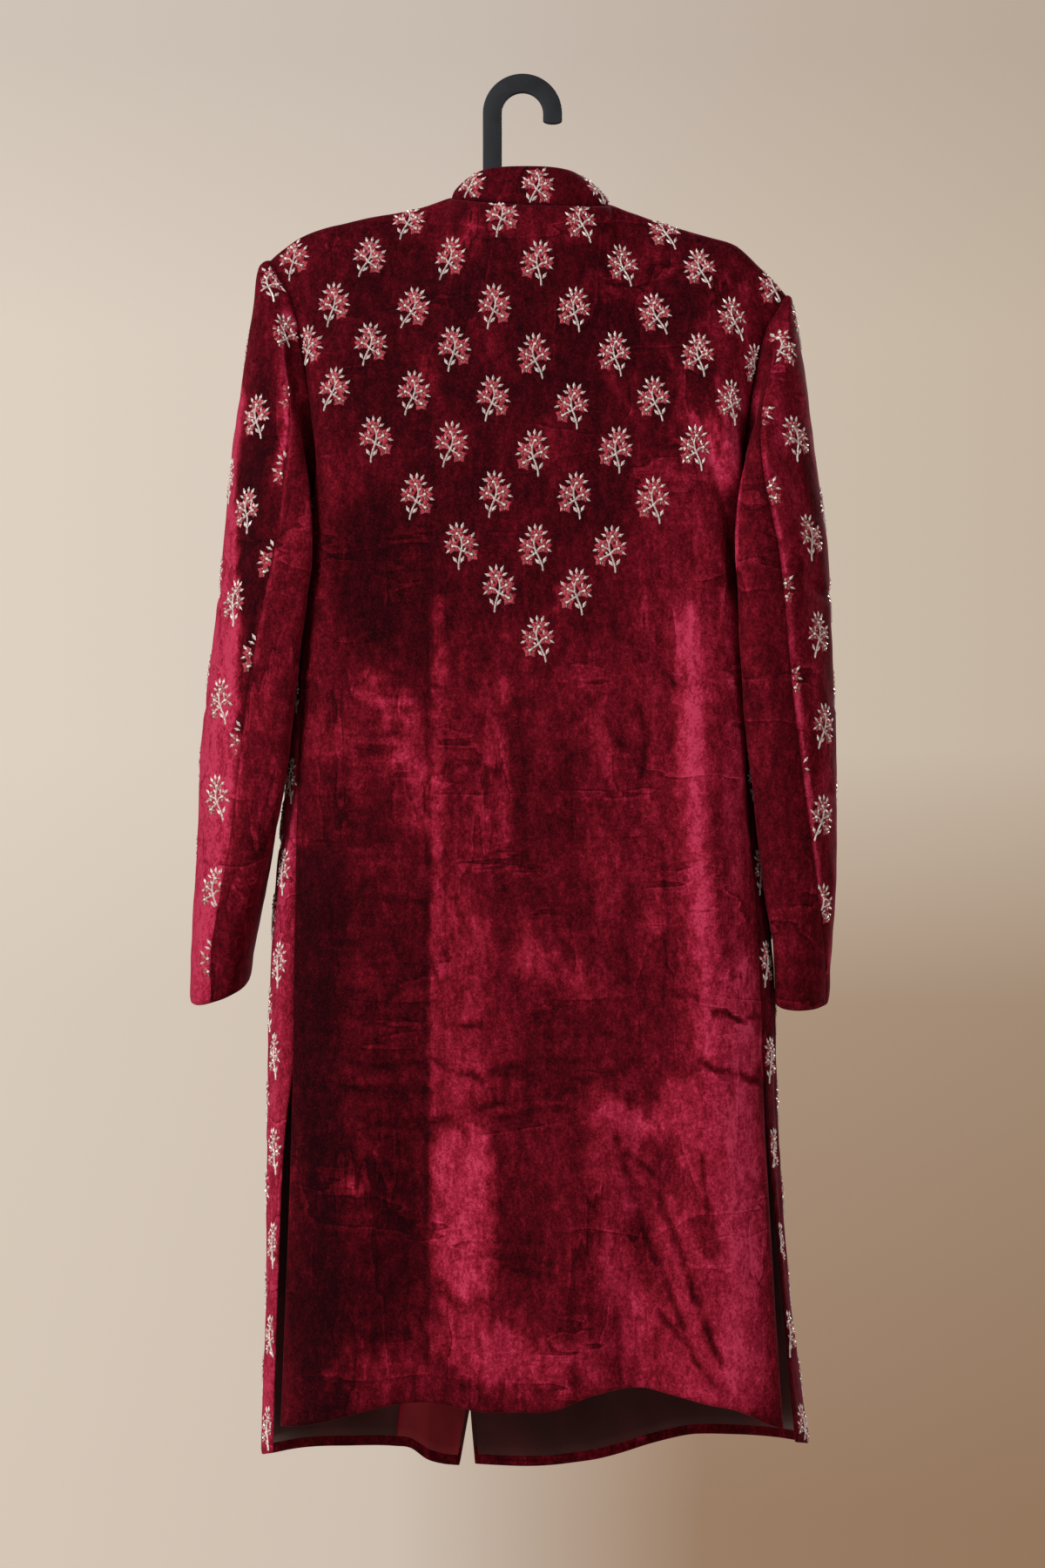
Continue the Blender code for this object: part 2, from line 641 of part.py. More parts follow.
def cloth_wall(name, grid, normals, thickness, cells=None, depth=0.0):
    """Closed wall made thick inwards along the normals, from a depth below the grid."""
    rows, columns = grid.shape[:2]
    if cells is None:
        cells = all_cells(grid)
    skins = (grid - normals * depth, grid - normals * (depth + thickness))
    mesh = bmesh.new()
    verts = {}

    def vert(skin, i, j):
        if (skin, i, j) not in verts:
            verts[skin, i, j] = mesh.verts.new(skins[skin][i, j])
        return verts[skin, i, j]

    def has_cell(i, j):
        return 0 <= i < rows - 1 and 0 <= j < columns - 1 and cells[i, j]

    for i in range(rows - 1):
        for j in range(columns - 1):
            if not has_cell(i, j):
                continue
            corners = ((i, j), (i, j + 1), (i + 1, j + 1), (i + 1, j))
            for skin in (0, 1):
                mesh.faces.new([vert(skin, *corner) for corner in corners])
            beside = ((i - 1, j), (i, j + 1), (i + 1, j), (i, j - 1))
            for k, neighbour in enumerate(beside):
                if not has_cell(*neighbour):
                    a, b = sorted((corners[k], corners[(k + 1) % 4]))
                    mesh.faces.new([vert(0, *a), vert(0, *b), vert(1, *b), vert(1, *a)])
    bmesh.ops.recalc_face_normals(mesh, faces=mesh.faces)
    return finish_mesh(name, mesh)


def finish_mesh(name, mesh):
    """Turn a bmesh into a smooth-shaded object in the coat's collection."""
    data = bpy.data.meshes.new(name)
    mesh.to_mesh(data)
    mesh.free()
    data.shade_smooth()
    data.set_sharp_from_angle(angle=math.radians(50))
    obj = bpy.data.objects.new(name, data)
    bpy.data.collections[COAT].objects.link(obj)
    return obj


def material(name, color, roughness, metallic=0.0):
    made = bpy.data.materials.new(name)
    made.use_nodes = True
    shader = made.node_tree.nodes["Principled BSDF"]
    shader.inputs["Base Color"].default_value = (*color, 1.0)
    shader.inputs["Roughness"].default_value = roughness
    shader.inputs["Metallic"].default_value = metallic
    return made


def paint(obj, made):
    obj.data.materials.clear()
    obj.data.materials.append(made)


# ---------------------------------------------------------------- the pieces

def build_body(velvet):
    """Back and front panels; returns their grids and normals for the pieces on them."""
    back = back_grid()
    back_normals = grid_normals(back, all_cells(back), from_axis)
    fronts = {}
    for side in (LEFT, RIGHT):
        grid, cells = front_grid(side)
        fronts[side] = [grid, cells, grid_normals(grid, cells, from_axis)]
    match_seams(back_normals, fronts)
    paint(cloth_wall("back", back, back_normals, WALL), velvet)
    for side, (grid, cells, normals) in fronts.items():
        piece = cloth_wall("front_" + SIDE_NAME[side], grid, normals, WALL, cells)
        paint(piece, velvet)
    return back, back_normals, fronts


def match_seams(back_normals, fronts):
    """Give panels that share a seam the same wall direction along it."""
    level = np.array([1.0, 0.0, 1.0])
    shoulder = SHOULDER_COLUMNS + 1
    back_normals[0, :shoulder] = unit(back_normals[0, :shoulder] * level)
    back_normals[0, -shoulder:] = unit(back_normals[0, -shoulder:] * level)
    sewn = slice(len(YOKE) - 1, len(YOKE) + WAIST_ROWS)
    for side, (grid, _, normals) in fronts.items():
        corner = grid.shape[1] - 1 - SIDE_COLUMNS
        columns = slice(corner - SHOULDER_COLUMNS, corner + 1)
        normals[0, columns] = unit(normals[0, columns] * level)
        edge = -1 if side == LEFT else 0
        shared = unit(back_normals[sewn, edge] + normals[sewn, -1])
        back_normals[sewn, edge] = shared
        normals[sewn, -1] = shared


def build_sleeves(back, back_normals, fronts, velvet):
    """Upper and under pieces, cut from one closed grid so that their seams match."""
    for side in (LEFT, RIGHT):
        front, _, front_normals = fronts[side]
        loop = armhole_loop(side, back, back_normals, front, front_normals)
        grid = sleeve_grid(side, loop)
        normals = closed_normals(side, grid)
        normals[0] = armhole_normals(loop[2], grid, normals[0])
        hind = hind_column(side)
        for piece, columns in (("upper", slice(0, hind + 1)), ("under", slice(hind, None))):
            outer = inset(grid[:, columns], SEAM_GAP / 2, SEAM_GAP / 2)
            name = "sleeve_" + piece + "_" + SIDE_NAME[side]
            paint(cloth_wall(name, outer, normals[:, columns], WALL), velvet)


def armhole_normals(panel_normals, grid, normals):
    """Normals along the top of a sleeve that keep its wall clear of the panels' walls."""
    away = unit(grid[1] - grid[0])
    convex = smooth(-3 * np.sum(away * panel_normals, axis=1, keepdims=True))
    normals = unit(mix(normals, panel_normals, convex))
    agree = np.clip(np.sum(normals * panel_normals, axis=1, keepdims=True), 0, 1)
    under_arm = np.arange(len(normals)) >= 2 * (len(YOKE) - 1)
    under_arm[0] = True
    return unit(normals - (agree * under_arm[:, None]) * panel_normals)


def collar_point(degrees, height):
    """Point on the collar's outside; the height runs from 0 at the seam to 1 at the top."""
    base = neck_point(degrees)
    across, along_neck = np.sin(np.radians(degrees)), np.cos(np.radians(degrees))
    back = np.clip(along_neck, 0, 1)
    front = np.clip(-along_neck, 0, 1)
    x = COLLAR_TOP_CENTRE + COLLAR_TOP_HALF * rounded(across)
    y = COLLAR_TOP_BACK * rounded(back) - COLLAR_TOP_FRONT * rounded(front)
    side_down = COLLAR_TOP_DOWN["side"]
    down = (side_down + (COLLAR_TOP_DOWN["back"] - side_down) * back
            + (COLLAR_TOP_DOWN["front"] - side_down) * front ** NECK_FRONT_CURVE)
    outward = unit(points(base[..., 0] - NECK_CENTRE, base[..., 1], 0 * across))
    bulge = COLLAR_BULGE * np.sin(math.pi * height)
    return mix(base, points(x, y, -down), height[..., None]) + outward * bulge[..., None]


def collar_columns():
    """Degrees of the collar's columns: the neckline's own, and more at the ends."""
    end = 180 - math.degrees(COLLAR_FRONT_GAP / 2 / NECK_HALF)
    ends = end - np.array(COLLAR_END_STEPS)
    return np.concatenate([-ends, np.arange(NECK_STEP - 180, 180, NECK_STEP), ends[::-1]])


def build_collar(velvet):
    """One band round the neck, its front corners rounded, with a gap at the front."""
    turn = collar_columns()[None, :]
    full = np.linalg.norm(collar_point(turn, np.ones_like(turn)) - neck_point(turn), axis=-1)
    from_end = np.radians(turn[0, -1] - np.abs(turn)) * NECK_HALF
    short = np.clip(1 - from_end / COLLAR_CORNER, 0, 1)
    cut = COLLAR_CORNER * (1 - np.sqrt(1 - 0.999 * short ** 2))
    share = np.linspace(0, 1, COLLAR_ROWS + 1)[:, None]
    height = mix(SEAM_GAP / full, 1 - cut / full, share)
    grid = collar_point(np.broadcast_to(turn, height.shape), height)
    normals = grid_normals(grid, all_cells(grid), from_axis)
    paint(cloth_wall("collar", grid, normals, COLLAR_WALL), velvet)


def build_lining(fronts, satin, red):
    """Lining and facing skins inside the fronts, made from the panels' own points."""
    slit_row = len(YOKE) - 1 + WAIST_ROWS
    for side, (grid, _, normals) in fronts.items():
        lower = grid[slit_row:]
        lower_normals = normals[slit_row:]
        first = FACING_COLUMNS if side == LEFT else 0
        edge = SEAM_GAP / 2 if side == LEFT else LINING_EDGE
        skin = inset(lower[:, first:], edge, LINING_SLIT_EDGE, LINING_HEM)
        name = "lining_" + SIDE_NAME[side]
        depth = WALL + SEAM_GAP
        lining = cloth_wall(name, skin, lower_normals[:, first:], LINING_WALL, depth=depth)
        paint(lining, satin)
        if side == LEFT:
            columns = slice(0, FACING_COLUMNS + 1)
            skin = inset(lower[:, columns], LINING_EDGE, SEAM_GAP / 2, LINING_HEM)
            facing = cloth_wall("facing_left", skin, lower_normals[:, columns], LINING_WALL,
                                depth=depth)
            paint(facing, red)


def button_profile():
    """Half outline of a button, from its back's middle round to its dome's top."""
    dome_radius = BUTTON_RADIUS * BUTTON_DOME_SHARE
    outline = [(0.0, 0.0), (BUTTON_RADIUS * BUTTON_BACK_SHARE, 0.0),
               (BUTTON_RADIUS, BUTTON_RIM / 2), (dome_radius, BUTTON_RIM)]
    for degrees in BUTTON_DOME_DEGREES:
        turn = math.radians(degrees)
        rise = BUTTON_RIM + (BUTTON_DOME - BUTTON_RIM) * math.sin(turn)
        outline.append((dome_radius * math.cos(turn), rise))
    return outline


def build_buttons(metal):
    """Domed buttons on the left front's outside, turned about an axis out of the cloth."""
    for number in range(BUTTONS):
        down = BUTTON_TOP_DOWN + BUTTON_PITCH * number
        mesh = bmesh.new()
        outline = button_profile()
        ring = [mesh.verts.new((radius, 0, height)) for radius, height in outline]
        edges = [mesh.edges.new(pair) for pair in zip(ring, ring[1:])]
        bmesh.ops.spin(mesh, geom=ring + edges, axis=(0, 0, 1), cent=(0, 0, 0),
                       angle=math.tau, steps=BUTTON_STEPS, use_merge=True)
        bmesh.ops.remove_doubles(mesh, verts=mesh.verts, dist=1e-6)
        bmesh.ops.recalc_face_normals(mesh, faces=mesh.faces)
        place, normal = centre_front(down)
        turn = Vector((0, 0, 1)).rotation_difference(Vector(normal)).to_matrix().to_4x4()
        shift = Matrix.Translation(Vector(place + normal * BUTTON_GAP))
        bmesh.ops.transform(mesh, matrix=shift @ turn, verts=mesh.verts)
        paint(finish_mesh("button_" + str(number + 1), mesh), metal)


def centre_front(down):
    """Point and normal on the left front's outside at the centre front."""
    grid, _ = front_grid(LEFT)
    column = [np.array([np.interp(0.0, row[:4, 0], row[:4, k]) for k in range(3)])
              for row in grid]
    column = np.array(column)
    depth = -column[:, 2]
    above, y, below = np.interp([down - BUTTON_RADIUS, down, down + BUTTON_RADIUS],
                                depth, column[:, 1])
    normal = unit(np.array([0.0, -1.0, (above - below) / (2 * BUTTON_RADIUS)]))
    return np.array([0.0, y, -down]), normal


def ridge_down(x):
    """Depth of the shoulder line's top, which rises to a low hump between the shoulders."""
    side = LEFT if x > NECK_CENTRE else RIGHT
    neck = neck_point(side * 90)
    beyond = side * (x - neck[0])
    share = max(0.0, beyond / (SHOULDER_TIP[side] - side * neck[0]))
    rise = ARM_RISE * smooth(-beyond / ARM_RISE_REACH)
    return float(sided(SHOULDER, "_drop", side, share)) - neck[2] - rise


def build_hanger(plastic):
    """Hook, stem and arms, joined into one moulding."""
    hook = hook_plate()
    arms = hanger_arms()
    join = hook.modifiers.new("join arms", "BOOLEAN")
    join.operation = "UNION"
    join.object = arms
    arms.hide_render = True
    arms.display_type = "WIRE"
    bpy.data.collections[COAT].objects.unlink(arms)
    bpy.data.collections[CUTTERS].objects.link(arms)
    paint(hook, plastic)
    paint(arms, plastic)


def hook_outline():
    """Flat outline of the hook and stem, as (x, z) points."""
    centre = -HOOK_INNER_RADIUS
    arc = np.radians(np.arange(0, 181, 15))
    outer = [(HOOK_OUTER_RADIUS * math.cos(a), centre + HOOK_OUTER_RADIUS * math.sin(a))
             for a in arc]
    inner = [(HOOK_INNER_RADIUS * math.cos(a), centre + HOOK_INNER_RADIUS * math.sin(a))
             for a in arc[::-1]]
    tip = [(-HOOK_OUTER_RADIUS, -HOOK_TIP_DOWN), (-HOOK_INNER_RADIUS, -HOOK_TIP_DOWN)]
    foot = [(HOOK_INNER_RADIUS, -STEM_FOOT_DOWN), (HOOK_OUTER_RADIUS, -STEM_FOOT_DOWN)]
    return outer + tip + inner + foot


def hook_plate():
    """The flat hook, a 2D outline with a thickness, turned upright and made a mesh."""
    curve = bpy.data.curves.new("hook outline", "CURVE")
    curve.dimensions = "2D"
    curve.fill_mode = "BOTH"
    curve.extrude = HOOK_THICKNESS / 2
    outline = hook_outline()
    spline = curve.splines.new("POLY")
    spline.points.add(len(outline) - 1)
    for point, (x, z) in zip(spline.points, outline):
        point.co = (x, z, 0, 1)
    spline.use_cyclic_u = True
    flat = bpy.data.objects.new("hook outline", curve)
    bpy.data.collections[COAT].objects.link(flat)
    bpy.context.view_layer.update()
    evaluated = flat.evaluated_get(bpy.context.evaluated_depsgraph_get())
    mesh = bmesh.new()
    mesh.from_mesh(bpy.data.meshes.new_from_object(evaluated))
    bmesh.ops.remove_doubles(mesh, verts=mesh.verts, dist=1e-6)
    bmesh.ops.transform(mesh, matrix=Matrix.Rotation(math.pi / 2, 4, "X"), verts=mesh.verts)
    bmesh.ops.recalc_face_normals(mesh, faces=mesh.faces)
    bpy.data.objects.remove(flat)
    return finish_mesh("hanger", mesh)


def hanger_arms():
    """Arms that follow the inside of the shoulder line, as rings along X."""
    mesh = bmesh.new()
    rings = []
    for x in np.linspace(-ARM_SPAN, ARM_SPAN, ARM_STATIONS + 1):
        top = ridge_down(x) + WALL + ARM_GAP
        half_height = mix(ARM_HALF_HEIGHT, ARM_TIP_HALF_HEIGHT, smooth(abs(x) / ARM_SPAN))
        turns = np.arange(ARM_SIDES) * math.tau / ARM_SIDES
        rings.append([mesh.verts.new((x, ARM_MIDDLE + ARM_HALF_THICKNESS * math.cos(a),
                                      -top - half_height * (1 - math.sin(a))))
                      for a in turns])
    for near, far in zip(rings, rings[1:]):
        for k in range(ARM_SIDES):
            following = (k + 1) % ARM_SIDES
            mesh.faces.new((near[k], near[following], far[following], far[k]))
    mesh.faces.new(rings[0])
    mesh.faces.new(rings[-1])
    bmesh.ops.recalc_face_normals(mesh, faces=mesh.faces)
    return finish_mesh("hanger arms", mesh)


def main():
    for obj in list(bpy.data.objects):
        bpy.data.objects.remove(obj)
    for name in (COAT, CUTTERS):
        collection = bpy.data.collections.new(name)
        bpy.context.scene.collection.children.link(collection)
    velvet = material("burgundy velvet", (0.10, 0.004, 0.016), 0.75)
    satin = material("maroon satin", (0.035, 0.010, 0.014), 0.45)
    red = material("red facing", (0.25, 0.010, 0.030), 0.55)
    metal = material("silvered metal", (0.60, 0.58, 0.55), 0.35, 0.9)
    plastic = material("black plastic", (0.012, 0.013, 0.015), 0.5)
    back, back_normals, fronts = build_body(velvet)
    build_sleeves(back, back_normals, fronts, velvet)
    build_collar(velvet)
    build_lining(fronts, satin, red)
    build_buttons(metal)
    build_hanger(plastic)


main()
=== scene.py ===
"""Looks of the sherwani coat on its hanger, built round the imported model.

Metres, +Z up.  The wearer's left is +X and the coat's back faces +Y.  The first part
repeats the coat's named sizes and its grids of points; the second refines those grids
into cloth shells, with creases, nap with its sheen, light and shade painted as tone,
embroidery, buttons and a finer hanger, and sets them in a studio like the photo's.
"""
import math
from collections import namedtuple

import bmesh
import bpy
import numpy as np
from mathutils import Matrix, Vector, kdtree
from mathutils.bvhtree import BVHTree


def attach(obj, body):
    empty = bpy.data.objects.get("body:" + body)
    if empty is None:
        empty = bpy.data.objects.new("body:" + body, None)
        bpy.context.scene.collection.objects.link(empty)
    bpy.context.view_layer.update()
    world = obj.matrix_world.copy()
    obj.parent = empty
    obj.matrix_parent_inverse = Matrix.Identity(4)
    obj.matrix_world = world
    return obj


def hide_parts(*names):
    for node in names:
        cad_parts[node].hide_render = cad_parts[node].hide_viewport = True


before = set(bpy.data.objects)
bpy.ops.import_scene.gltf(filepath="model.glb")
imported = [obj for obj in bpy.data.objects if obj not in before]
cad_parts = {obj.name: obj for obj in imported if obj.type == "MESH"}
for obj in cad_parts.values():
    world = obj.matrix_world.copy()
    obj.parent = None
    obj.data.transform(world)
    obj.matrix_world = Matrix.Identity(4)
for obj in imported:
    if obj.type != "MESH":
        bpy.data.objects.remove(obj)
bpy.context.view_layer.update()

LEFT = 1
RIGHT = -1
SIDE_NAME = {LEFT: "left", RIGHT: "right"}

# Cloth
WALL = 0.002
LINING_WALL = 0.001
SEAM_GAP = 0.0003

# Neck opening: two half ellipses that meet at the neck ends of the shoulder seams
NECK_CENTRE = -0.007
NECK_HALF = 0.069
NECK_DOWN = 0.093
NECK_ROLL = 0.003
NECK_BACK_REACH = 0.041
NECK_FRONT_REACH = 0.058
NECK_BACK_DROP = 0.009
NECK_FRONT_DROP = 0.082
NECK_FRONT_CURVE = 1.7
NECK_STEP = 15

# Collar: its top edge is a narrower ring that leans forward
COLLAR_WALL = 0.0024
COLLAR_TOP_CENTRE = -0.0030
COLLAR_TOP_HALF = 0.047
COLLAR_TOP_BACK = 0.031
COLLAR_TOP_FRONT = 0.082
COLLAR_TOP_DOWN = {"back": 0.0675, "side": 0.0725, "front": 0.147}
COLLAR_BULGE = 0.0025
COLLAR_FRONT_GAP = 0.0030
COLLAR_CORNER = 0.012
COLLAR_END_STEPS = (0.0, 0.8, 2.2, 4.5, 8.0)
COLLAR_ROWS = 3

# Shoulder seam, from the neck (share 0) to the sleeve (share 1), as drops below the neck
SHOULDER_TIP = {LEFT: 0.218, RIGHT: 0.228}
Shoulder = namedtuple("Shoulder", "share left_drop right_drop")
SHOULDER = [
    Shoulder(0.0, 0.0000, 0.0000),
    Shoulder(0.2, 0.0105, 0.0120),
    Shoulder(0.4, 0.0155, 0.0210),
    Shoulder(0.6, 0.0228, 0.0295),
    Shoulder(0.7, 0.0265, 0.0345),
    Shoulder(0.8, 0.0313, 0.0460),
    Shoulder(0.9, 0.0410, 0.0620),
    Shoulder(1.0, 0.0535, 0.0776),
]

# Rows from the shoulder line to the foot of the armhole, as shares of that way:
# of the drop, of the change in width and of the change in depth
Yoke = namedtuple("Yoke", "drop width depth")
YOKE = [
    Yoke(0.000, 0.00, 0.00),
    Yoke(0.008, 0.05, 0.10),
    Yoke(0.030, 0.11, 0.18),
    Yoke(0.080, 0.20, 0.27),
    Yoke(0.170, 0.42, 0.39),
    Yoke(0.290, 0.57, 0.53),
    Yoke(0.430, 0.69, 0.68),
    Yoke(0.600, 0.80, 0.83),
    Yoke(0.800, 0.91, 0.95),
    Yoke(1.000, 1.00, 1.00),
]

# Body sections below the armholes: half widths, depths and the reach of the corners
Body = namedtuple("Body", "down left_half right_half back_depth front_depth corner")
BODY = [
    Body(0.335, 0.1820, 0.1895, 0.075, 0.079, 0.028),
    Body(0.410, 0.1890, 0.1920, 0.075, 0.080, 0.034),
    Body(0.480, 0.1940, 0.1945, 0.075, 0.080, 0.040),
    Body(0.540, 0.1990, 0.1970, 0.075, 0.079, 0.046),
    Body(0.600, 0.2045, 0.2010, 0.075, 0.078, 0.052),
    Body(0.660, 0.2105, 0.2065, 0.075, 0.077, 0.054),
    Body(0.700, 0.2138, 0.2115, 0.075, 0.077, 0.055),
    Body(0.746, 0.2165, 0.2165, 0.075, 0.077, 0.056),
    Body(0.800, 0.2195, 0.2174, 0.076, 0.078, 0.057),
    Body(0.900, 0.2202, 0.2208, 0.077, 0.079, 0.058),
    Body(1.030, 0.2210, 0.2303, 0.078, 0.081, 0.060),
    Body(1.090, 0.2228, 0.2368, 0.079, 0.082, 0.061),
    Body(1.160, 0.2258, 0.2475, 0.080, 0.083, 0.062),
]
FLAT_LAP = 0.6
CROWN = 0.05

# Side seams, which become side slits lower down, and the slits' gaps
Seam = namedtuple("Seam", "down left right left_gap right_gap")
SEAM = [
    Seam(0.335, 0.1745, 0.1850, 0.0000, 0.0000),
    Seam(0.410, 0.1845, 0.1870, 0.0000, 0.0000),
    Seam(0.480, 0.1885, 0.1880, 0.0000, 0.0000),
    Seam(0.540, 0.1912, 0.1892, 0.0000, 0.0000),
    Seam(0.600, 0.1924, 0.1920, 0.0000, 0.0000),
    Seam(0.660, 0.1931, 0.1965, 0.0000, 0.0000),
    Seam(0.746, 0.1945, 0.2020, 0.0000, 0.0000),
    Seam(0.830, 0.1952, 0.2050, 0.0003, 0.0003),
    Seam(0.890, 0.1965, 0.2070, 0.0070, 0.0030),
    Seam(0.950, 0.1985, 0.2105, 0.0092, 0.0060),
    Seam(1.030, 0.2017, 0.2148, 0.0092, 0.0090),
    Seam(1.160, 0.2070, 0.2228, 0.0078, 0.0120),
]
SLIT_DOWN = 0.830

# Foot of the armholes
ARM_DOWN = 0.342
ARM_TILT = 0.033
ARM_FRONT_LAP = 1.2
ARM_SCOOP = 0.034

# Hem of the back, by share of the way from the middle (0) to the left or right edge
Hem = namedtuple("Hem", "place down")
BACK_HEM = [
    Hem(-1.00, 1.1405),
    Hem(-0.90, 1.1335),
    Hem(-0.80, 1.1232),
    Hem(-0.68, 1.1170),
    Hem(-0.56, 1.1100),
    Hem(-0.42, 1.1037),
    Hem(-0.23, 1.1115),
    Hem(-0.07, 1.1232),
    Hem(0.10, 1.1235),
    Hem(0.40, 1.1162),
    Hem(0.53, 1.1190),
    Hem(0.65, 1.1245),
    Hem(0.77, 1.1313),
    Hem(0.90, 1.1370),
    Hem(1.00, 1.1392),
]

# Hem of the fronts, by lap
HEM_DOWN = 1.18
FrontHem = namedtuple("FrontHem", "lap left right")
FRONT_HEM = [
    FrontHem(0.83, 1.163, 1.154),
    FrontHem(1.00, 1.173, 1.163),
    FrontHem(1.15, 1.179, 1.168),
    FrontHem(1.30, 1.180, 1.170),
    FrontHem(1.50, 1.181, 1.171),
    FrontHem(1.64, 1.182, 1.178),
    FrontHem(1.72, 1.194, 1.186),
    FrontHem(1.82, 1.198, 1.194),
    FrontHem(2.00, 1.198, 1.198),
    FrontHem(2.14, 1.197, 1.196),
]

# Front edges: the left panel laps over the right one and swings open below the buttons
FrontEdge = namedtuple("FrontEdge", "down left right")
FRONT_EDGE = [
    FrontEdge(0.17, -0.018, 0.022),
    FrontEdge(0.72, -0.018, 0.022),
    FrontEdge(0.86, -0.008, 0.027),
    FrontEdge(1.00, 0.016, 0.037),
    FrontEdge(1.15, 0.048, 0.046),
    FrontEdge(1.20, 0.057, 0.041),
]
LAP_DEPTH = 0.0042
LAP_START = -0.056
LAP_FULL = -0.026
LAP_SLOPE = 0.7
LAP_SLOPE_DOWN = 0.170
LAP_SLOPE_REACH = 0.10

# Largest folds, each along a line from its top to its foot; a hollow has a height below 0
Fold = namedtuple("Fold", "top_x top_down foot_x foot_down width height")
BACK_FOLDS = [
    Fold(0.180, 0.160, 0.178, 0.275, 0.008, 0.004),
    Fold(0.166, 0.165, 0.165, 0.270, 0.009, -0.005),
    Fold(-0.150, 0.270, -0.180, 0.470, 0.013, -0.007),
    Fold(-0.150, 0.400, -0.156, 1.400, 0.028, 0.006),
    Fold(-0.108, 0.780, -0.090, 1.400, 0.022, -0.008),
    Fold(-0.040, 0.900, -0.030, 1.400, 0.022, 0.007),
    Fold(0.025, 0.820, 0.045, 1.400, 0.020, 0.004),
    Fold(0.085, 0.720, 0.090, 1.400, 0.028, -0.006),
    Fold(0.140, 0.640, 0.150, 1.400, 0.026, 0.005),
]
FRONT_FOLDS = [
    Fold(0.166, 0.170, 0.162, 0.280, 0.010, -0.005),
    Fold(-0.168, 0.210, -0.164, 0.330, 0.011, -0.005),
    Fold(0.120, 0.520, 0.128, 1.400, 0.026, 0.006),
    Fold(0.078, 0.760, 0.086, 1.400, 0.020, -0.006),
    Fold(-0.095, 0.600, -0.104, 1.400, 0.024, -0.006),
    Fold(-0.150, 0.480, -0.160, 1.400, 0.026, 0.006),
]
FOLD_FADE = 0.25
FOLD_TURN = 0.05

# Grids of the body panels
SIDEWAYS_SHARE = 0.3
BACK_NECK_SHARE = 0.45
FRONT_NECK_SHARE = 0.60
SHOULDER_COLUMNS = 7
SIDE_COLUMNS = 7
WAIST_ROWS = 7
SKIRT_ROWS = 6

# Sleeve rings below the armhole: the outer and inner ends of each, its half depth and
# middle from front to back, how far its rear end leans in over the body and drops, the
# angle of the hind seam round the ring, and how much of the armhole's form it still has
Ring = namedtuple("Ring", "outer outer_down inner inner_down half_depth middle lean dip "
                  "seam hold")
SLEEVE_LEFT = [
    Ring(0.2380, 0.1520, 0.1860, 0.377, 0.051, -0.001, 0.002, 0, 90, 0.70),
    Ring(0.2372, 0.1662, 0.1890, 0.383, 0.059, -0.001, 0.010, 0, 97, 0.45),
    Ring(0.2385, 0.2060, 0.1910, 0.390, 0.067, 0.000, 0.021, 0, 86, 0.24),
    Ring(0.2450, 0.2600, 0.1920, 0.398, 0.074, 0.002, 0.029, 0, 77, 0.10),
    Ring(0.2515, 0.3200, 0.1930, 0.408, 0.078, 0.003, 0.034, 0, 69, 0.02),
    Ring(0.2565, 0.3800, 0.1935, 0.422, 0.080, 0.003, 0.035, 0, 66, 0.00),
    Ring(0.2635, 0.4450, 0.1955, 0.460, 0.080, 0.002, 0.034, 0, 61, 0.00),
    Ring(0.2720, 0.5100, 0.2000, 0.512, 0.077, 0.000, 0.032, 0, 60, 0.00),
    Ring(0.2780, 0.5800, 0.2055, 0.575, 0.073, -0.003, 0.029, 0, 58, 0.00),
    Ring(0.2810, 0.6400, 0.2125, 0.632, 0.068, -0.007, 0.021, 0, 62, 0.00),
    Ring(0.2835, 0.6900, 0.2205, 0.680, 0.063, -0.011, 0.009, 0, 70, 0.00),
    Ring(0.2860, 0.7400, 0.2310, 0.728, 0.059, -0.015, 0.000, 0.003, 79, 0.00),
    Ring(0.2880, 0.7800, 0.2365, 0.766, 0.057, -0.018, 0.000, 0.008, 85, 0.00),
]
SLEEVE_RIGHT = [
    Ring(0.2420, 0.1820, 0.1930, 0.389, 0.051, -0.001, 0.002, 0, 74, 0.70),
    Ring(0.2400, 0.1990, 0.1945, 0.395, 0.059, -0.001, 0.009, 0, 84, 0.45),
    Ring(0.2425, 0.2300, 0.1955, 0.402, 0.067, 0.000, 0.018, 0, 82, 0.24),
    Ring(0.2480, 0.2720, 0.1960, 0.410, 0.074, 0.002, 0.026, 0, 73, 0.10),
    Ring(0.2545, 0.3250, 0.1965, 0.420, 0.078, 0.003, 0.030, 0, 66, 0.02),
    Ring(0.2615, 0.3820, 0.1970, 0.434, 0.080, 0.003, 0.032, 0, 60, 0.00),
    Ring(0.2655, 0.4450, 0.1975, 0.462, 0.080, 0.002, 0.033, 0, 57, 0.00),
    Ring(0.2685, 0.5120, 0.1993, 0.512, 0.077, 0.000, 0.033, 0, 55, 0.00),
    Ring(0.2710, 0.5820, 0.2030, 0.580, 0.073, -0.003, 0.030, 0, 52, 0.00),
    Ring(0.2715, 0.6360, 0.2080, 0.636, 0.068, -0.007, 0.028, 0, 47, 0.00),
    Ring(0.2705, 0.6900, 0.2140, 0.690, 0.063, -0.011, 0.025, 0, 39, 0.00),
    Ring(0.2680, 0.7400, 0.2200, 0.738, 0.059, -0.015, 0.021, 0.004, 27, 0.00),
    Ring(0.2660, 0.7830, 0.2215, 0.774, 0.057, -0.018, 0.020, 0.009, 17, 0.00),
]
SLEEVES = {LEFT: SLEEVE_LEFT, RIGHT: SLEEVE_RIGHT}
SLEEVE_FULLNESS = 2.4
FORE_SEAM = -130
HIND_SEAM_ROW = {LEFT: 6, RIGHT: 5}
UNDER_ARM_FREEDOM = 0.8
CONVEX_SLOPE = 3

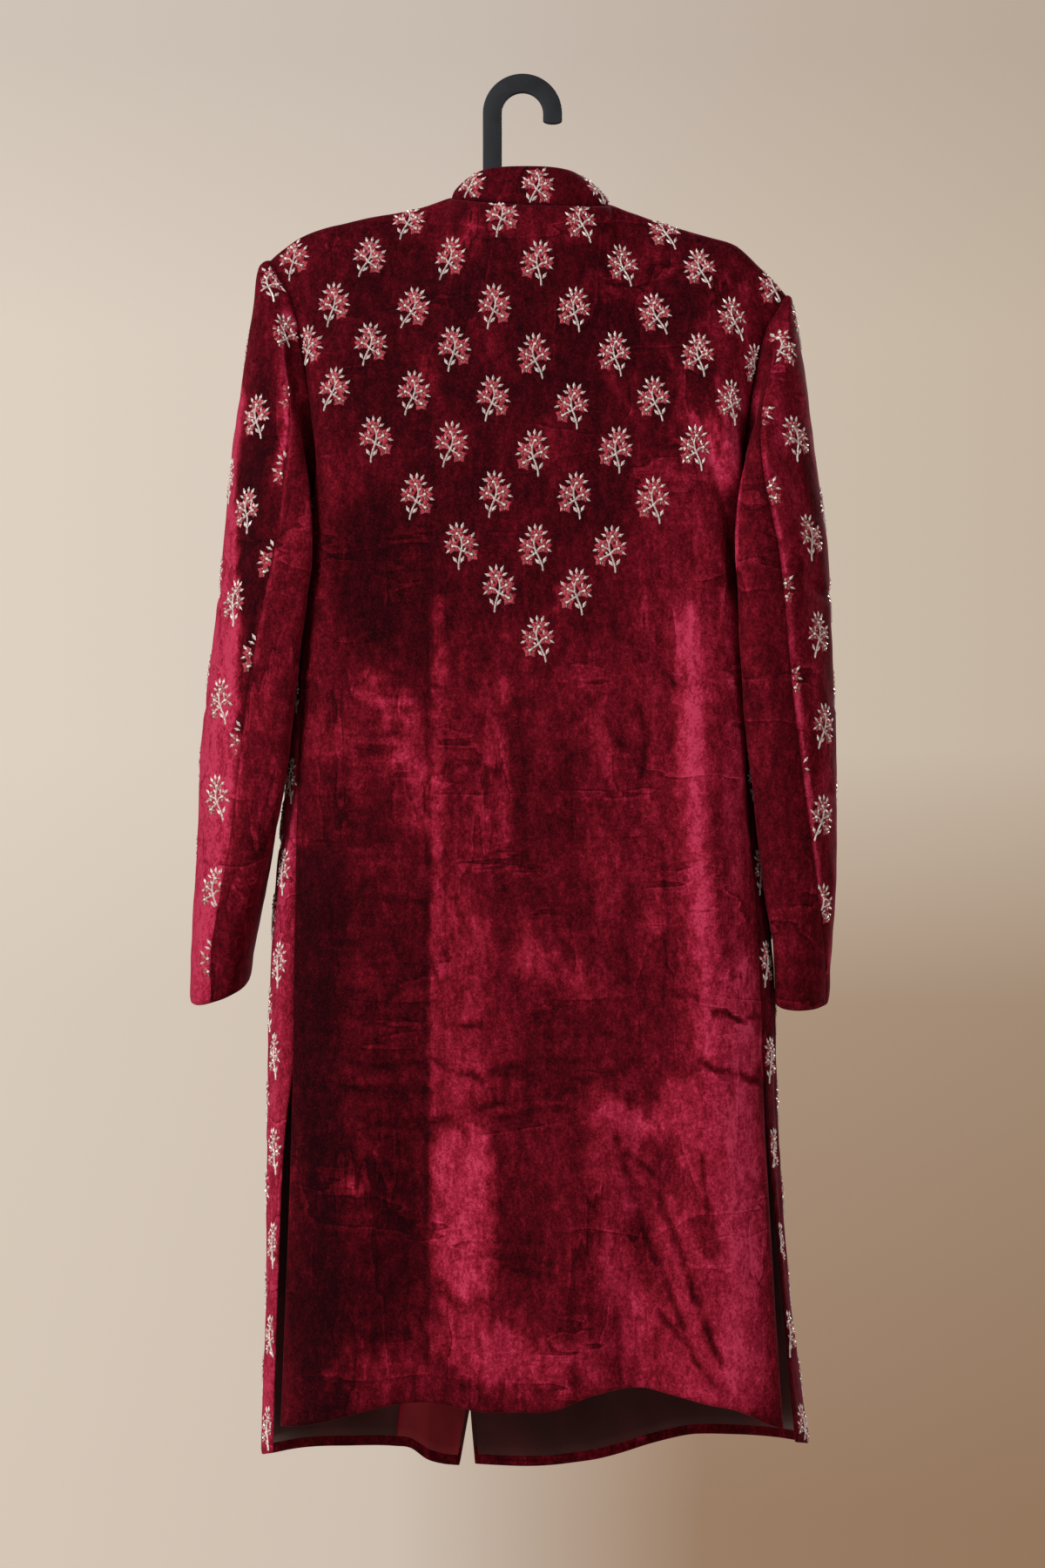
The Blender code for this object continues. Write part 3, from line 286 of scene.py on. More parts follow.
# Lining and facing inside the fronts, whose edges stay inside the panel's own
LINING_HEM = 0.009
LINING_EDGE = 0.003
LINING_SLIT_EDGE = 0.010
FACING_COLUMNS = 4

# Buttons down the centre front, each with a rim, a dome and rings of beads on it
BUTTONS = 7
BUTTON_TOP_DOWN = 0.205
BUTTON_PITCH = 0.078
BUTTON_RADIUS = 0.0085
BUTTON_RIM = 0.0014
BUTTON_DOME = 0.0040
BUTTON_BACK_SHARE = 0.90
BUTTON_DOME_SHARE = 0.97
BUTTON_GAP = 0.0004
BUTTON_SIDES = 40
BUTTON_RIM_DEGREES = range(-80, 81, 20)
BUTTON_DOME_DEGREES = range(0, 91, 10)
BUTTON_DOME_RADIUS = BUTTON_RADIUS * BUTTON_DOME_SHARE
BUTTON_CROWN_SHARE = 0.88
Beads = namedtuple("Beads", "count reach radius")
BUTTON_BEADS = [
    Beads(18, 0.93, 0.00075),
    Beads(6, 0.40, 0.00095),
    Beads(1, 0.00, 0.00120),
]

# Hanger: its flat hook and stem, and its arms, which are one rounded bar
HOOK_THICKNESS = 0.006
HOOK_INNER_RADIUS = 0.0177
HOOK_OUTER_RADIUS = 0.0342
HOOK_TIP_DOWN = 0.027
STEM_FOOT_DOWN = 0.104
ARM_SPAN = 0.168
ARM_MIDDLE = 0.003
ARM_HALF_THICKNESS = 0.005
ARM_HALF_HEIGHT = 0.011
ARM_TIP_HALF_HEIGHT = 0.006
ARM_GAP = 0.0018
ARM_RISE = 0.006
ARM_RISE_REACH = 0.05
ARM_RINGS = 97
ARM_SIDES = 20
ARM_TIP = 0.006
ARM_TIP_LEAST = 0.05
ARM_EVENNESS = 0.6
HOOK_BEVEL = 0.0012
HOOK_TIP_ROUND = 0.003


def along(rows, column, at):
    """Read a table's column at the stations: a smooth curve that stays between its rows."""
    stations = np.array([row[0] for row in rows], dtype=float)
    values = np.array([getattr(row, column) for row in rows], dtype=float)
    step = np.diff(stations)
    slope = np.diff(values) / step
    bend = np.zeros(len(values))
    bend[0] = slope[0]
    bend[-1] = slope[-1]
    before, after = slope[:-1], slope[1:]
    same = before * after > 0
    bend[1:-1][same] = 2 * before[same] * after[same] / (before[same] + after[same])
    at = np.clip(np.asarray(at, dtype=float), stations[0], stations[-1])
    k = np.clip(np.searchsorted(stations, at, side="right") - 1, 0, len(step) - 1)
    t = (at - stations[k]) / step[k]
    rise = values[k + 1] - values[k]
    return (values[k] + rise * t * t * (3 - 2 * t)
            + step[k] * t * (1 - t) * ((1 - t) * bend[k] - t * bend[k + 1]))


def sided(rows, column, side, at):
    """Read the column that holds this side's values, such as left_half or right."""
    return along(rows, SIDE_NAME[side] + column, at)


def mix(a, b, t):
    return a + (b - a) * t


def smooth(t):
    t = np.clip(t, 0.0, 1.0)
    return t * t * (3 - 2 * t)


def points(x, y, z):
    """Join three coordinates into an array of points."""
    return np.stack(np.broadcast_arrays(x, y, z), axis=-1)


def fold_height(folds, x, down):
    """Height of the folds at a place, above or below the plain surface."""
    height = np.zeros(np.broadcast(x, down).shape)
    for fold in folds:
        t = (down - fold.top_down) / (fold.foot_down - fold.top_down)
        line = mix(fold.top_x, fold.foot_x, np.clip(t, 0, 1))
        fade = smooth(t / FOLD_FADE) * smooth((1 - t) / FOLD_FADE)
        height = height + fold.height * fade * np.exp(-((x - line) / fold.width) ** 2)
    return height


def flat_half(side, down):
    return sided(BODY, "_half", side, down) - along(BODY, "corner", down)


def lap_at(side, x, down):
    """Lap on the back of the body at a distance from the middle."""
    flat = flat_half(side, down)
    corner = along(BODY, "corner", down)
    turn = np.arcsin(np.clip((x - flat) / corner, 0, 1))
    return np.where(x < flat, FLAT_LAP * x / flat, mix(FLAT_LAP, 1.0, turn / (math.pi / 2)))


def body_point(side, lap, down):
    """Point on the outside of the coat below the armholes."""
    lap = np.asarray(lap, dtype=float)
    at_back = lap <= 1
    from_middle = np.where(at_back, lap, 2 - lap)
    flat = flat_half(side, down)
    corner = along(BODY, "corner", down)
    turn = np.clip((from_middle - FLAT_LAP) / (1 - FLAT_LAP), 0, 1) * math.pi / 2
    x = np.minimum(from_middle, FLAT_LAP) / FLAT_LAP * flat + corner * np.sin(turn)
    depth = np.where(at_back, along(BODY, "back_depth", down),
                     -along(BODY, "front_depth", down))
    y = depth * np.cos(turn) * (1 - CROWN * (x / (flat + corner)) ** 2)
    return points(side * x, y, -down)


def folded(grid):
    """Raise the folds on a grid of body points."""
    x, y, down = grid[..., 0], grid[..., 1], -grid[..., 2]
    facing = np.clip(y / FOLD_TURN, -1, 1)
    back = np.clip(facing, 0, 1) * fold_height(BACK_FOLDS, x, down)
    front = np.clip(facing, -1, 0) * fold_height(FRONT_FOLDS, x, down)
    return points(x, y + back + front, -down)


def tucked(grid):
    """Tuck the right front's edge under the left front."""
    x, down = grid[..., 0], -grid[..., 2]
    tuck = LAP_DEPTH * smooth((x - LAP_START) / (LAP_FULL - LAP_START))
    slope = LAP_SLOPE * smooth(1 - (down - LAP_SLOPE_DOWN) / LAP_SLOPE_REACH)
    return grid + unit(points(0 * x, 1, -slope)) * tuck[..., None]


def neck_point(degrees):
    """Point on the neckline: 0 at the centre back, 90 at the left and 180 at the front.

    The line is straight between the panels' points, which are a step apart.
    """
    stations = np.arange(-14, 15) * NECK_STEP
    curve = neck_curve(np.radians(stations))
    return np.stack([np.interp(degrees, stations, curve[:, k]) for k in range(3)], axis=-1)


def neck_curve(turn):
    across = np.sin(turn)
    back = np.clip(np.cos(turn), 0, 1)
    front = np.clip(-np.cos(turn), 0, 1)
    x = NECK_CENTRE + NECK_HALF * across
    y = NECK_BACK_REACH * back - NECK_FRONT_REACH * front
    down = (NECK_DOWN - NECK_ROLL * across + NECK_BACK_DROP * back
            + NECK_FRONT_DROP * front ** NECK_FRONT_CURVE)
    return points(x, y, -down)


def shoulder_point(side, share, face):
    """Point on the shoulder seam, on the back's side of it (face 1) or the front's (-1)."""
    neck = neck_point(side * 90)
    x = mix(neck[0], side * SHOULDER_TIP[side], share)
    down = sided(SHOULDER, "_drop", side, share) - neck[2]
    return points(x, face * SEAM_GAP / 2, -down)


def armhole_foot(side, lap):
    """How far down the foot of the armhole is at a lap."""
    x = body_point(side, lap, ARM_DOWN)[..., 0]
    return ARM_DOWN - ARM_TILT * x


def yoke_rows(top, foot):
    """Rows of points from a panel's top edge to its row at the foot of the armholes."""
    rows = []
    for row in YOKE:
        x = mix(top[:, 0], foot[:, 0], row.width)
        y = mix(top[:, 1], foot[:, 1], row.depth)
        z = mix(top[:, 2], foot[:, 2], row.drop)
        rows.append(points(x, y, z))
    return rows


def back_grid():
    """The back panel, from the wearer's right edge to the left edge."""
    turns = np.arange(0, 91, NECK_STEP)
    shoulder = np.linspace(0, 1, SHOULDER_COLUMNS + 1)[1:]
    share = np.concatenate([turns / 90 * BACK_NECK_SHARE, mix(BACK_NECK_SHARE, 1, shoulder)])
    halves = {}
    for side in (LEFT, RIGHT):
        top = np.concatenate([neck_point(side * turns),
                              shoulder_point(side, shoulder, 1)])
        seam = lap_at(side, sided(SEAM, "", side, ARM_DOWN), ARM_DOWN)
        down = armhole_foot(side, share * seam)
        rows = yoke_rows(top, body_point(side, share * seam, down))
        for t in np.linspace(0, 1, WAIST_ROWS + 1)[1:]:
            rows.append(back_row(side, share, mix(down, SLIT_DOWN, t)))
        hem = along(BACK_HEM, "down", side * share)
        for t in np.linspace(0, 1, SKIRT_ROWS + 1)[1:]:
            rows.append(back_row(side, share, mix(SLIT_DOWN, hem, t)))
        halves[side] = np.array(rows)
    grid = np.concatenate([halves[RIGHT][:, :0:-1], halves[LEFT]], axis=1)
    return folded(grid)


def back_row(side, share, down):
    edge = down[-1]
    seam = lap_at(side, sided(SEAM, "", side, edge) - SEAM_GAP / 2, edge)
    return body_point(side, share * seam, down)


def front_edge_lap(side, down):
    """Lap of a front panel's free edge."""
    x = side * sided(FRONT_EDGE, "", side, down)
    return 2 - FLAT_LAP * x / flat_half(side, down)


def front_seam_lap(side, down):
    """Lap of a front panel's side seam, or of its edge of the slit."""
    x = sided(SEAM, "", side, down) + SEAM_GAP / 2 + sided(SEAM, "_gap", side, down)
    return lap_at(side, x, down)


def front_grid(side):
    """A front panel, from its free edge round to the side seam, and the cells it has.

    The columns past the armhole start at the foot of the armhole, so the grid has no
    cells above them.
    """
    turns = front_neck_turns(side)
    shoulder = np.linspace(0, 1, SHOULDER_COLUMNS + 1)[1:]
    top = np.concatenate([neck_point(side * turns),
                          shoulder_point(side, shoulder, -1)])
    chest = len(top)
    chest_share = np.concatenate([np.linspace(0, FRONT_NECK_SHARE, len(turns)),
                                  mix(FRONT_NECK_SHARE, 1, shoulder)])
    side_share = np.linspace(0, 1, SIDE_COLUMNS + 1)[1:]

    lap = mix(front_edge_lap(side, ARM_DOWN), ARM_FRONT_LAP, chest_share)
    side_lap = mix(ARM_FRONT_LAP, front_seam_lap(side, ARM_DOWN), side_share)
    all_laps = np.concatenate([lap, side_lap])
    down = armhole_foot(side, all_laps)
    down[chest:] += ARM_SCOOP * np.sin(math.pi * side_share)
    foot = body_point(side, all_laps, down)

    missing = np.zeros((len(side_share), 3))
    rows = [np.concatenate([row, missing]) for row in yoke_rows(top, foot[:chest])]
    rows[-1] = foot
    for t in np.linspace(0, 1, WAIST_ROWS + 1)[1:]:
        rows.append(front_row(side, chest_share, side_share, mix(down, SLIT_DOWN, t)))
    hem_laps = np.concatenate([
        mix(front_edge_lap(side, HEM_DOWN), ARM_FRONT_LAP, chest_share),
        mix(ARM_FRONT_LAP, front_seam_lap(side, HEM_DOWN), side_share)])
    hem = sided(FRONT_HEM, "", side, hem_laps)
    for t in np.linspace(0, 1, SKIRT_ROWS + 1)[1:]:
        rows.append(front_row(side, chest_share, side_share, mix(SLIT_DOWN, hem, t)))
    grid = folded(np.array(rows))
    cells = all_cells(grid)
    cells[:len(YOKE) - 1, chest - 1:] = False
    if side == RIGHT:
        grid = tucked(grid)
    return grid, cells


def front_neck_turns(side):
    """Degrees of a front panel's neckline points, from its free edge to the shoulder."""
    edge_x = sided(FRONT_EDGE, "", side, 0)
    edge = 180 + math.degrees(math.asin(side * (NECK_CENTRE - edge_x) / NECK_HALF))
    return np.append(edge, np.arange(edge // NECK_STEP * NECK_STEP, 89, -NECK_STEP))


def front_row(side, chest_share, side_share, down):
    edge = front_edge_lap(side, down[0])
    seam = front_seam_lap(side, down[-1])
    lap = np.concatenate([mix(edge, ARM_FRONT_LAP, chest_share),
                          mix(ARM_FRONT_LAP, seam, side_share)])
    return body_point(side, lap, down)


def all_cells(grid):
    return np.ones((grid.shape[0] - 1, grid.shape[1] - 1), dtype=bool)


def inset(grid, first=0.0, last=0.0, foot=0.0):
    """Move a grid's first and last columns, and its last row, in towards the others."""
    moved = grid.copy()
    moved[:, 0] += first * unit(grid[:, 1] - grid[:, 0])
    moved[:, -1] += last * unit(grid[:, -2] - grid[:, -1])
    moved[-1] += foot * unit(moved[-2] - moved[-1])
    return moved


def unit(vectors):
    return vectors / np.maximum(np.linalg.norm(vectors, axis=-1, keepdims=True), 1e-12)


def grid_normals(grid, cells, outward):
    """Unit normals at a grid's points, on the side that outward(point) points to."""
    normals = np.zeros(grid.shape)
    down_edge = grid[1:, :-1] - grid[:-1, 1:]
    across_edge = grid[1:, 1:] - grid[:-1, :-1]
    cell_normals = np.cross(down_edge, across_edge) * cells[..., None]
    for i, j in ((0, 0), (0, 1), (1, 0), (1, 1)):
        rows = slice(i, grid.shape[0] - 1 + i)
        columns = slice(j, grid.shape[1] - 1 + j)
        normals[rows, columns] += cell_normals
    normals = unit(normals)
    return normals if np.sum(normals * outward(grid)) > 0 else -normals


def from_axis(grid):
    """Directions away from the coat's upright middle axis, mostly to front or back."""
    return grid * np.array([SIDEWAYS_SHARE, 1.0, 0.0])


def match_seams(back_normals, fronts):
    """Give panels that share a seam the same wall direction along it."""
    level = np.array([1.0, 0.0, 1.0])
    shoulder = SHOULDER_COLUMNS + 1
    back_normals[0, :shoulder] = unit(back_normals[0, :shoulder] * level)
    back_normals[0, -shoulder:] = unit(back_normals[0, -shoulder:] * level)
    sewn = slice(len(YOKE) - 1, len(YOKE) + WAIST_ROWS)
    for side, (grid, _, normals) in fronts.items():
        corner = grid.shape[1] - 1 - SIDE_COLUMNS
        columns = slice(corner - SHOULDER_COLUMNS, corner + 1)
        normals[0, columns] = unit(normals[0, columns] * level)
        edge = -1 if side == LEFT else 0
        shared = unit(back_normals[sewn, edge] + normals[sewn, -1])
        back_normals[sewn, edge] = shared
        normals[sewn, -1] = shared


def armhole_loop(side, back, back_normals, front, front_normals):
    """Degrees, points and normals round the armhole, from the fore seam up over the
    shoulder (0 degrees), down the back and under the arm to the fore seam again."""
    foot = len(YOKE) - 1
    edge = -1 if side == LEFT else 0
    corner = front.shape[1] - 1 - SIDE_COLUMNS
    loops = []
    for back_values, front_values in ((back, front), (back_normals, front_normals)):
        up_front = front_values[foot:0:-1, corner]
        down_back = back_values[:foot + 1, edge]
        under_arm = front_values[foot, -2:corner - 1:-1]
        loops.append(np.concatenate([up_front, down_back, under_arm]))
    place, normal = loops
    way = np.append(0, np.cumsum(np.linalg.norm(np.diff(place, axis=0), axis=1)))
    shoulder, lowest = way[foot], way[np.argmin(place[:, 2])]
    span = way[-1]
    angle = np.interp(way, [0, shoulder, lowest, span],
                      [-180 * shoulder / (shoulder + span - lowest), 0, 180,
                       180 + 180 * (span - lowest) / (shoulder + span - lowest)])
    return angle, place, normal


def rounded(value):
    """Sine or cosine of a fuller section than an ellipse."""
    return np.sign(value) * np.abs(value) ** (2 / SLEEVE_FULLNESS)


def sleeve_ring(side, ring, angle):
    """Points round one sleeve ring: 0 degrees is outermost and 90 rearmost."""
    turn = np.radians(angle)
    outward, rearward = rounded(np.cos(turn)), rounded(np.sin(turn))
    share = (1 + outward) / 2
    x = mix(ring.inner, ring.outer, share) - ring.lean * np.clip(rearward, 0, 1) ** 2
    y = ring.middle + ring.half_depth * rearward
    down = mix(ring.inner_down, ring.outer_down, share) + ring.dip * np.clip(rearward, 0, 1)
    return points(side * x, y, -down)


def sleeve_grid(side, loop):
    """Closed grid of a sleeve, which starts and ends at its fore seam."""
    loop_angle, armhole, panel_normals = loop
    hind = hind_column(side)
    columns = np.arange(len(loop_angle))
    rows = []
    for ring in SLEEVES[side]:
        even = np.interp(columns, [0, len(YOKE) - 1, hind, columns[-1]],
                         [FORE_SEAM, 0, ring.seam, FORE_SEAM + 360])
        place = sleeve_ring(side, ring, mix(even, loop_angle, ring.hold))
        under_arm = np.clip(-np.cos(np.radians(loop_angle)), 0, 1)
        hold = ring.hold * (1 - UNDER_ARM_FREEDOM * under_arm)
        rows.append(mix(place, armhole, hold[:, None]))
    first = armhole + SEAM_GAP * (unit(rows[0] - armhole) + panel_normals)
    return np.array([first] + rows)


def hind_column(side):
    """Column of a sleeve's hind seam."""
    return len(YOKE) - 1 + HIND_SEAM_ROW[side]


def closed_normals(side, grid):
    """Normals of a closed grid, whose first and last columns are the same line."""
    wrapped = np.concatenate([grid[:, -2:-1], grid, grid[:, 1:2]], axis=1)
    middles = [((r.outer + r.inner) / 2, r.middle, -(r.outer_down + r.inner_down) / 2)
               for r in SLEEVES[side]]
    middles = np.array(middles[:1] + middles) * np.array([side, 1, 1])
    normals = grid_normals(wrapped, all_cells(wrapped), lambda g: g - middles[:, None, :])
    return normals[:, 1:-1]


def armhole_normals(panel_normals, grid, normals):
    """Normals along the top of a sleeve that keep its wall clear of the panels' walls."""
    away = unit(grid[1] - grid[0])
    convex = smooth(-CONVEX_SLOPE * np.sum(away * panel_normals, axis=1, keepdims=True))
    normals = unit(mix(normals, panel_normals, convex))
    agree = np.clip(np.sum(normals * panel_normals, axis=1, keepdims=True), 0, 1)
    under_arm = np.arange(len(normals)) >= 2 * (len(YOKE) - 1)
    under_arm[0] = True
    return unit(normals - (agree * under_arm[:, None]) * panel_normals)


def collar_point(degrees, height):
    """Point on the collar's outside; the height runs from 0 at the seam to 1 at the top."""
    base = neck_point(degrees)
    across, along_neck = np.sin(np.radians(degrees)), np.cos(np.radians(degrees))
    back = np.clip(along_neck, 0, 1)
    front = np.clip(-along_neck, 0, 1)
    x = COLLAR_TOP_CENTRE + COLLAR_TOP_HALF * rounded(across)
    y = COLLAR_TOP_BACK * rounded(back) - COLLAR_TOP_FRONT * rounded(front)
    side_down = COLLAR_TOP_DOWN["side"]
    down = (side_down + (COLLAR_TOP_DOWN["back"] - side_down) * back
            + (COLLAR_TOP_DOWN["front"] - side_down) * front ** NECK_FRONT_CURVE)
    outward = unit(points(base[..., 0] - NECK_CENTRE, base[..., 1], 0 * across))
    bulge = COLLAR_BULGE * np.sin(math.pi * height)
    return mix(base, points(x, y, -down), height[..., None]) + outward * bulge[..., None]


def collar_columns():
    """Degrees of the collar's columns: the neckline's own, and more at the ends."""
    end = 180 - math.degrees(COLLAR_FRONT_GAP / 2 / NECK_HALF)
    ends = end - np.array(COLLAR_END_STEPS)
    return np.concatenate([-ends, np.arange(NECK_STEP - 180, 180, NECK_STEP), ends[::-1]])


def centre_front(down):
    """Point and normal on the left front's outside at the centre front."""
    grid, _ = front_grid(LEFT)
    column = [np.array([np.interp(0.0, row[:4, 0], row[:4, k]) for k in range(3)])
              for row in grid]
    column = np.array(column)
    depth = -column[:, 2]
    above, y, below = np.interp([down - BUTTON_RADIUS, down, down + BUTTON_RADIUS],
                                depth, column[:, 1])
    normal = unit(np.array([0.0, -1.0, (above - below) / (2 * BUTTON_RADIUS)]))
    return np.array([0.0, y, -down]), normal


def ridge_down(x):
    """Depth of the shoulder line's top, which rises to a low hump between the shoulders."""
    side = LEFT if x > NECK_CENTRE else RIGHT
    neck = neck_point(side * 90)
    beyond = side * (x - neck[0])
    share = max(0.0, beyond / (SHOULDER_TIP[side] - side * neck[0]))
    rise = ARM_RISE * smooth(-beyond / ARM_RISE_REACH)
    return float(sided(SHOULDER, "_drop", side, share)) - neck[2] - rise


# ---------------------------------------------------------------- finer grids

# Distances between the points of the finer grids, and how seams and edges are rounded
MM = 0.001
BACK_STEP = 0.0031
PANEL_STEP = 0.0037
SLEEVE_STEP = 0.0036
LINING_STEP = 0.008
SEAM_ROLL = 0.0011
SEAM_ROLL_WIDTH = 0.0030
RIM_BULGE = 0.35
SHARP_DEGREES = 40
MERGED = 1e-6


def refine(values, stations):
    """Read an array's rows at the stations, along smooth curves through the rows."""
    last = len(values) - 1
    k = np.clip(np.floor(stations).astype(int), 0, last - 1)
    t = (stations - k).reshape(-1, *[1] * (values.ndim - 1))
    start, end = values[k], values[k + 1]
    before = values[np.maximum(k - 1, 0)].copy()
    before[k == 0] = (2 * start - end)[k == 0]
    after = values[np.minimum(k + 2, last)].copy()
    after[k == last - 1] = (2 * end - start)[k == last - 1]
    leave, arrive = (end - before) / 2, (after - start) / 2
    return (start * (1 + 2 * t) * (1 - t) ** 2 + leave * t * (1 - t) ** 2
            + end * t * t * (3 - 2 * t) - arrive * t * t * (1 - t))


def even_stations(grid, axis, step):
    """Stations about a step apart along an axis of a grid, the grid's own among them."""
    gaps = np.linalg.norm(np.diff(grid, axis=axis), axis=-1).mean(axis=1 - axis)
    counts = np.maximum(1, np.round(gaps / step)).astype(int)
    inside = [k + np.arange(count) / count for k, count in enumerate(counts)]
    return np.append(np.concatenate(inside), len(counts))


def finer_cells(cells, rows, columns):
    """The cells of a finer grid that lie in a coarse grid's cells."""
    i = np.floor(rows[:-1] + 1e-6).astype(int)
    j = np.floor(columns[:-1] + 1e-6).astype(int)
    return cells[np.ix_(i, j)]


def way_across(grid, column):
    """How far each point is across the cloth from a column, along its row."""
    steps = np.linalg.norm(np.diff(grid, axis=1), axis=-1)
    way = np.concatenate([np.zeros((len(grid), 1)), np.cumsum(steps, axis=1)], axis=1)
    return way - way[:, column:column + 1] if column >= 0 else way[:, -1:] - way


# ---------------------------------------------------------------- creases and nap

Line = namedtuple("Line", "size width path sharp", defaults=(2.0,))
Patch = namedtuple("Patch", "tone width path sharp", defaults=(2.0,))
LINE_FADE = 0.22
LINE_END_SHARE = 0.15
CLOUD_WAVES = 26
CLOUD_PITCH = (0.5, 1.6)


def nearest_on(path, across, down):
    """Distance from each place to a path, and the share of the path's length there."""
    path = np.array(path, dtype=float)
    spans = np.diff(path, axis=0)
    lengths = np.linalg.norm(spans, axis=1)
    starts = np.append(0, np.cumsum(lengths))
    nearest = np.full(across.shape, np.inf)
    share = np.zeros(across.shape)
    for start, span, length, begun in zip(path, spans, lengths, starts):
        ahead = ((across - start[0]) * span[0] + (down - start[1]) * span[1]) / length ** 2
        held = np.clip(ahead, 0, 1)
        away = np.hypot(across - start[0] - held * span[0],
                        down - start[1] - held * span[1])
        closer = away < nearest
        nearest = np.where(closer, away, nearest)
        share = np.where(closer, (begun + held * length) / starts[-1], share)
    return nearest, share


def line_field(lines, across, down):
    """Sum of soft lines: each has a size, a width and a path of (across, down) places."""
    total = np.zeros(across.shape)
    for line in lines:
        away, share = nearest_on(line.path, across, down)
        ends = smooth(share / LINE_FADE) * smooth((1 - share) / LINE_FADE)
        total += (line.size * mix(LINE_END_SHARE, 1, ends)
                  * np.exp(-(away / line.width) ** line.sharp))
    return total


def painted(tone, patches, across, down, hold=1.0):
    """Brush each patch over the tone in turn; patches are in millimetres."""
    for patch in patches:
        away, _ = nearest_on(np.array(patch.path) * MM, across, down)
        cover = hold * np.exp(-(away / (patch.width * MM)) ** patch.sharp)
        tone = mix(tone, patch.tone, cover)
    return tone


def cloudy(across, down, across_size, down_size, seed):
    """Smooth irregular field, mostly between -1 and 1, with patches of the given size."""
    chance = np.random.default_rng(seed)
    total = np.zeros(across.shape)
    for _ in range(CLOUD_WAVES):
        turn = chance.uniform(0, math.tau)
        pitch = chance.uniform(*CLOUD_PITCH)
        phase = chance.uniform(0, math.tau)
        total += np.cos(math.tau * pitch * (math.cos(turn) * across / across_size
                                            + math.sin(turn) * down / down_size) + phase)
    return total / math.sqrt(CLOUD_WAVES)


# ---------------------------------------------------------------- shells

def linked(name, data):
    """A new object of the data, linked to the scene."""
    obj = bpy.data.objects.new(name, data)
    bpy.context.scene.collection.objects.link(obj)
    return obj


def open_sides(cells, index):
    """Pairs of points along each side of a cell that has no cell beyond it."""
    padded = np.pad(cells, 1)
    pairs = []
    for beyond, first, second in (
            (padded[:-2, 1:-1], index[:-1, :-1], index[:-1, 1:]),
            (padded[1:-1, 2:], index[:-1, 1:], index[1:, 1:]),
            (padded[2:, 1:-1], index[1:, 1:], index[1:, :-1]),
            (padded[1:-1, :-2], index[1:, :-1], index[:-1, :-1])):
        where = cells & ~beyond
        pairs.append(np.stack([first[where], second[where]], axis=1))
    return np.concatenate(pairs)


def shell(name, panel, thickness, depth=0.0, nap_and_painted_light=None, turned_up=0):
    """Closed cloth wall with rounded edges.  Its outer faces are the first material's, and
    so are the last rows of its inner faces where the hem is turned up."""
    grid, normals, cells = panel.grid, panel.normals, panel.cells
    rows, columns = grid.shape[:2]
    index = np.arange(rows * columns).reshape(rows, columns)
    outer = (grid - normals * depth).reshape(-1, 3)
    inner = (grid - normals * (depth + thickness)).reshape(-1, 3)
    a, b = index[:-1, :-1][cells], index[:-1, 1:][cells]
    c, d = index[1:, 1:][cells], index[1:, :-1][cells]
    lower = rows * columns
    faces_out = np.stack([a, d, c, b], axis=1)
    faces_in = np.stack([a, b, c, d], axis=1) + lower

    edges = open_sides(cells, index)
    rim = np.unique(edges)
    away = np.zeros((rows * columns, 3))
    for corner, opposite in ((a, c), (b, d), (c, a), (d, b)):
        np.add.at(away, corner, outer[corner] - outer[opposite])
    middle = (outer[rim] + inner[rim]) / 2 + RIM_BULGE * thickness * unit(away[rim])
    place_of = np.zeros(rows * columns, dtype=int)
    place_of[rim] = 2 * rows * columns + np.arange(len(rim))
    first, second = edges[:, 0], edges[:, 1]
    rim_outer = np.stack([first, second, place_of[second], place_of[first]], axis=1)
    rim_inner = np.stack([place_of[first], place_of[second], second + lower, first + lower],
                         axis=1)

    faces = np.concatenate([faces_out, faces_in, rim_outer, rim_inner])
    facing = np.cross(outer[d] - outer[a], outer[b] - outer[a])
    if np.sum(facing * normals.reshape(-1, 3)[a]) < 0:
        faces = faces[:, ::-1]
    verts = np.concatenate([outer, inner, middle])
    used = np.unique(faces)
    renumber = np.full(len(verts), -1)
    renumber[used] = np.arange(len(used))
    data = bpy.data.meshes.new(name)
    data.from_pydata(verts[used], [], renumber[faces])
    second_material = np.zeros(len(faces), dtype=np.int32)
    second_material[len(faces_out):len(faces_out) + len(faces_in)] = (
        np.nonzero(cells)[0] < cells.shape[0] - turned_up)
    data.polygons.foreach_set("material_index", second_material)
    if nap_and_painted_light is not None:
        values = np.concatenate([nap_and_painted_light.ravel(), nap_and_painted_light.ravel(), nap_and_painted_light.ravel()[rim]])[used]
        layer = data.attributes.new("nap_and_painted_light", "FLOAT", "POINT")
        layer.data.foreach_set("value", values.astype(np.float32))
    data.shade_smooth()
    data.update()
    return linked(name, data)


def dress(obj, node, slot, *materials):
    """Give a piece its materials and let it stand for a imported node."""
    for made in materials:
        obj.data.materials.append(made)
    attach(obj, "root")
    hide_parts(node)


# ---------------------------------------------------------------- materials

def node_material(name):
    """A new material, its node tree, its Principled shader and its place on the piece."""
    made = bpy.data.materials.new(name)
    made.use_nodes = True
    tree = made.node_tree
    place = add_node(tree, "TexCoord").outputs["Object"]
    return made, tree, tree.nodes["Principled BSDF"], place


def connect(tree, node, inputs):
    """Link each input of a node to a socket, or set it to a value."""
    for key, value in inputs.items():
        if isinstance(value, bpy.types.NodeSocket):
            tree.links.new(value, node.inputs[key])
        else:
            node.inputs[key].default_value = value


def add_node(tree, kind, inputs=None, **settings):
    node = tree.nodes.new("ShaderNode" + kind)
    for key, value in settings.items():
        setattr(node, key, value)
    connect(tree, node, inputs or {})
    return node


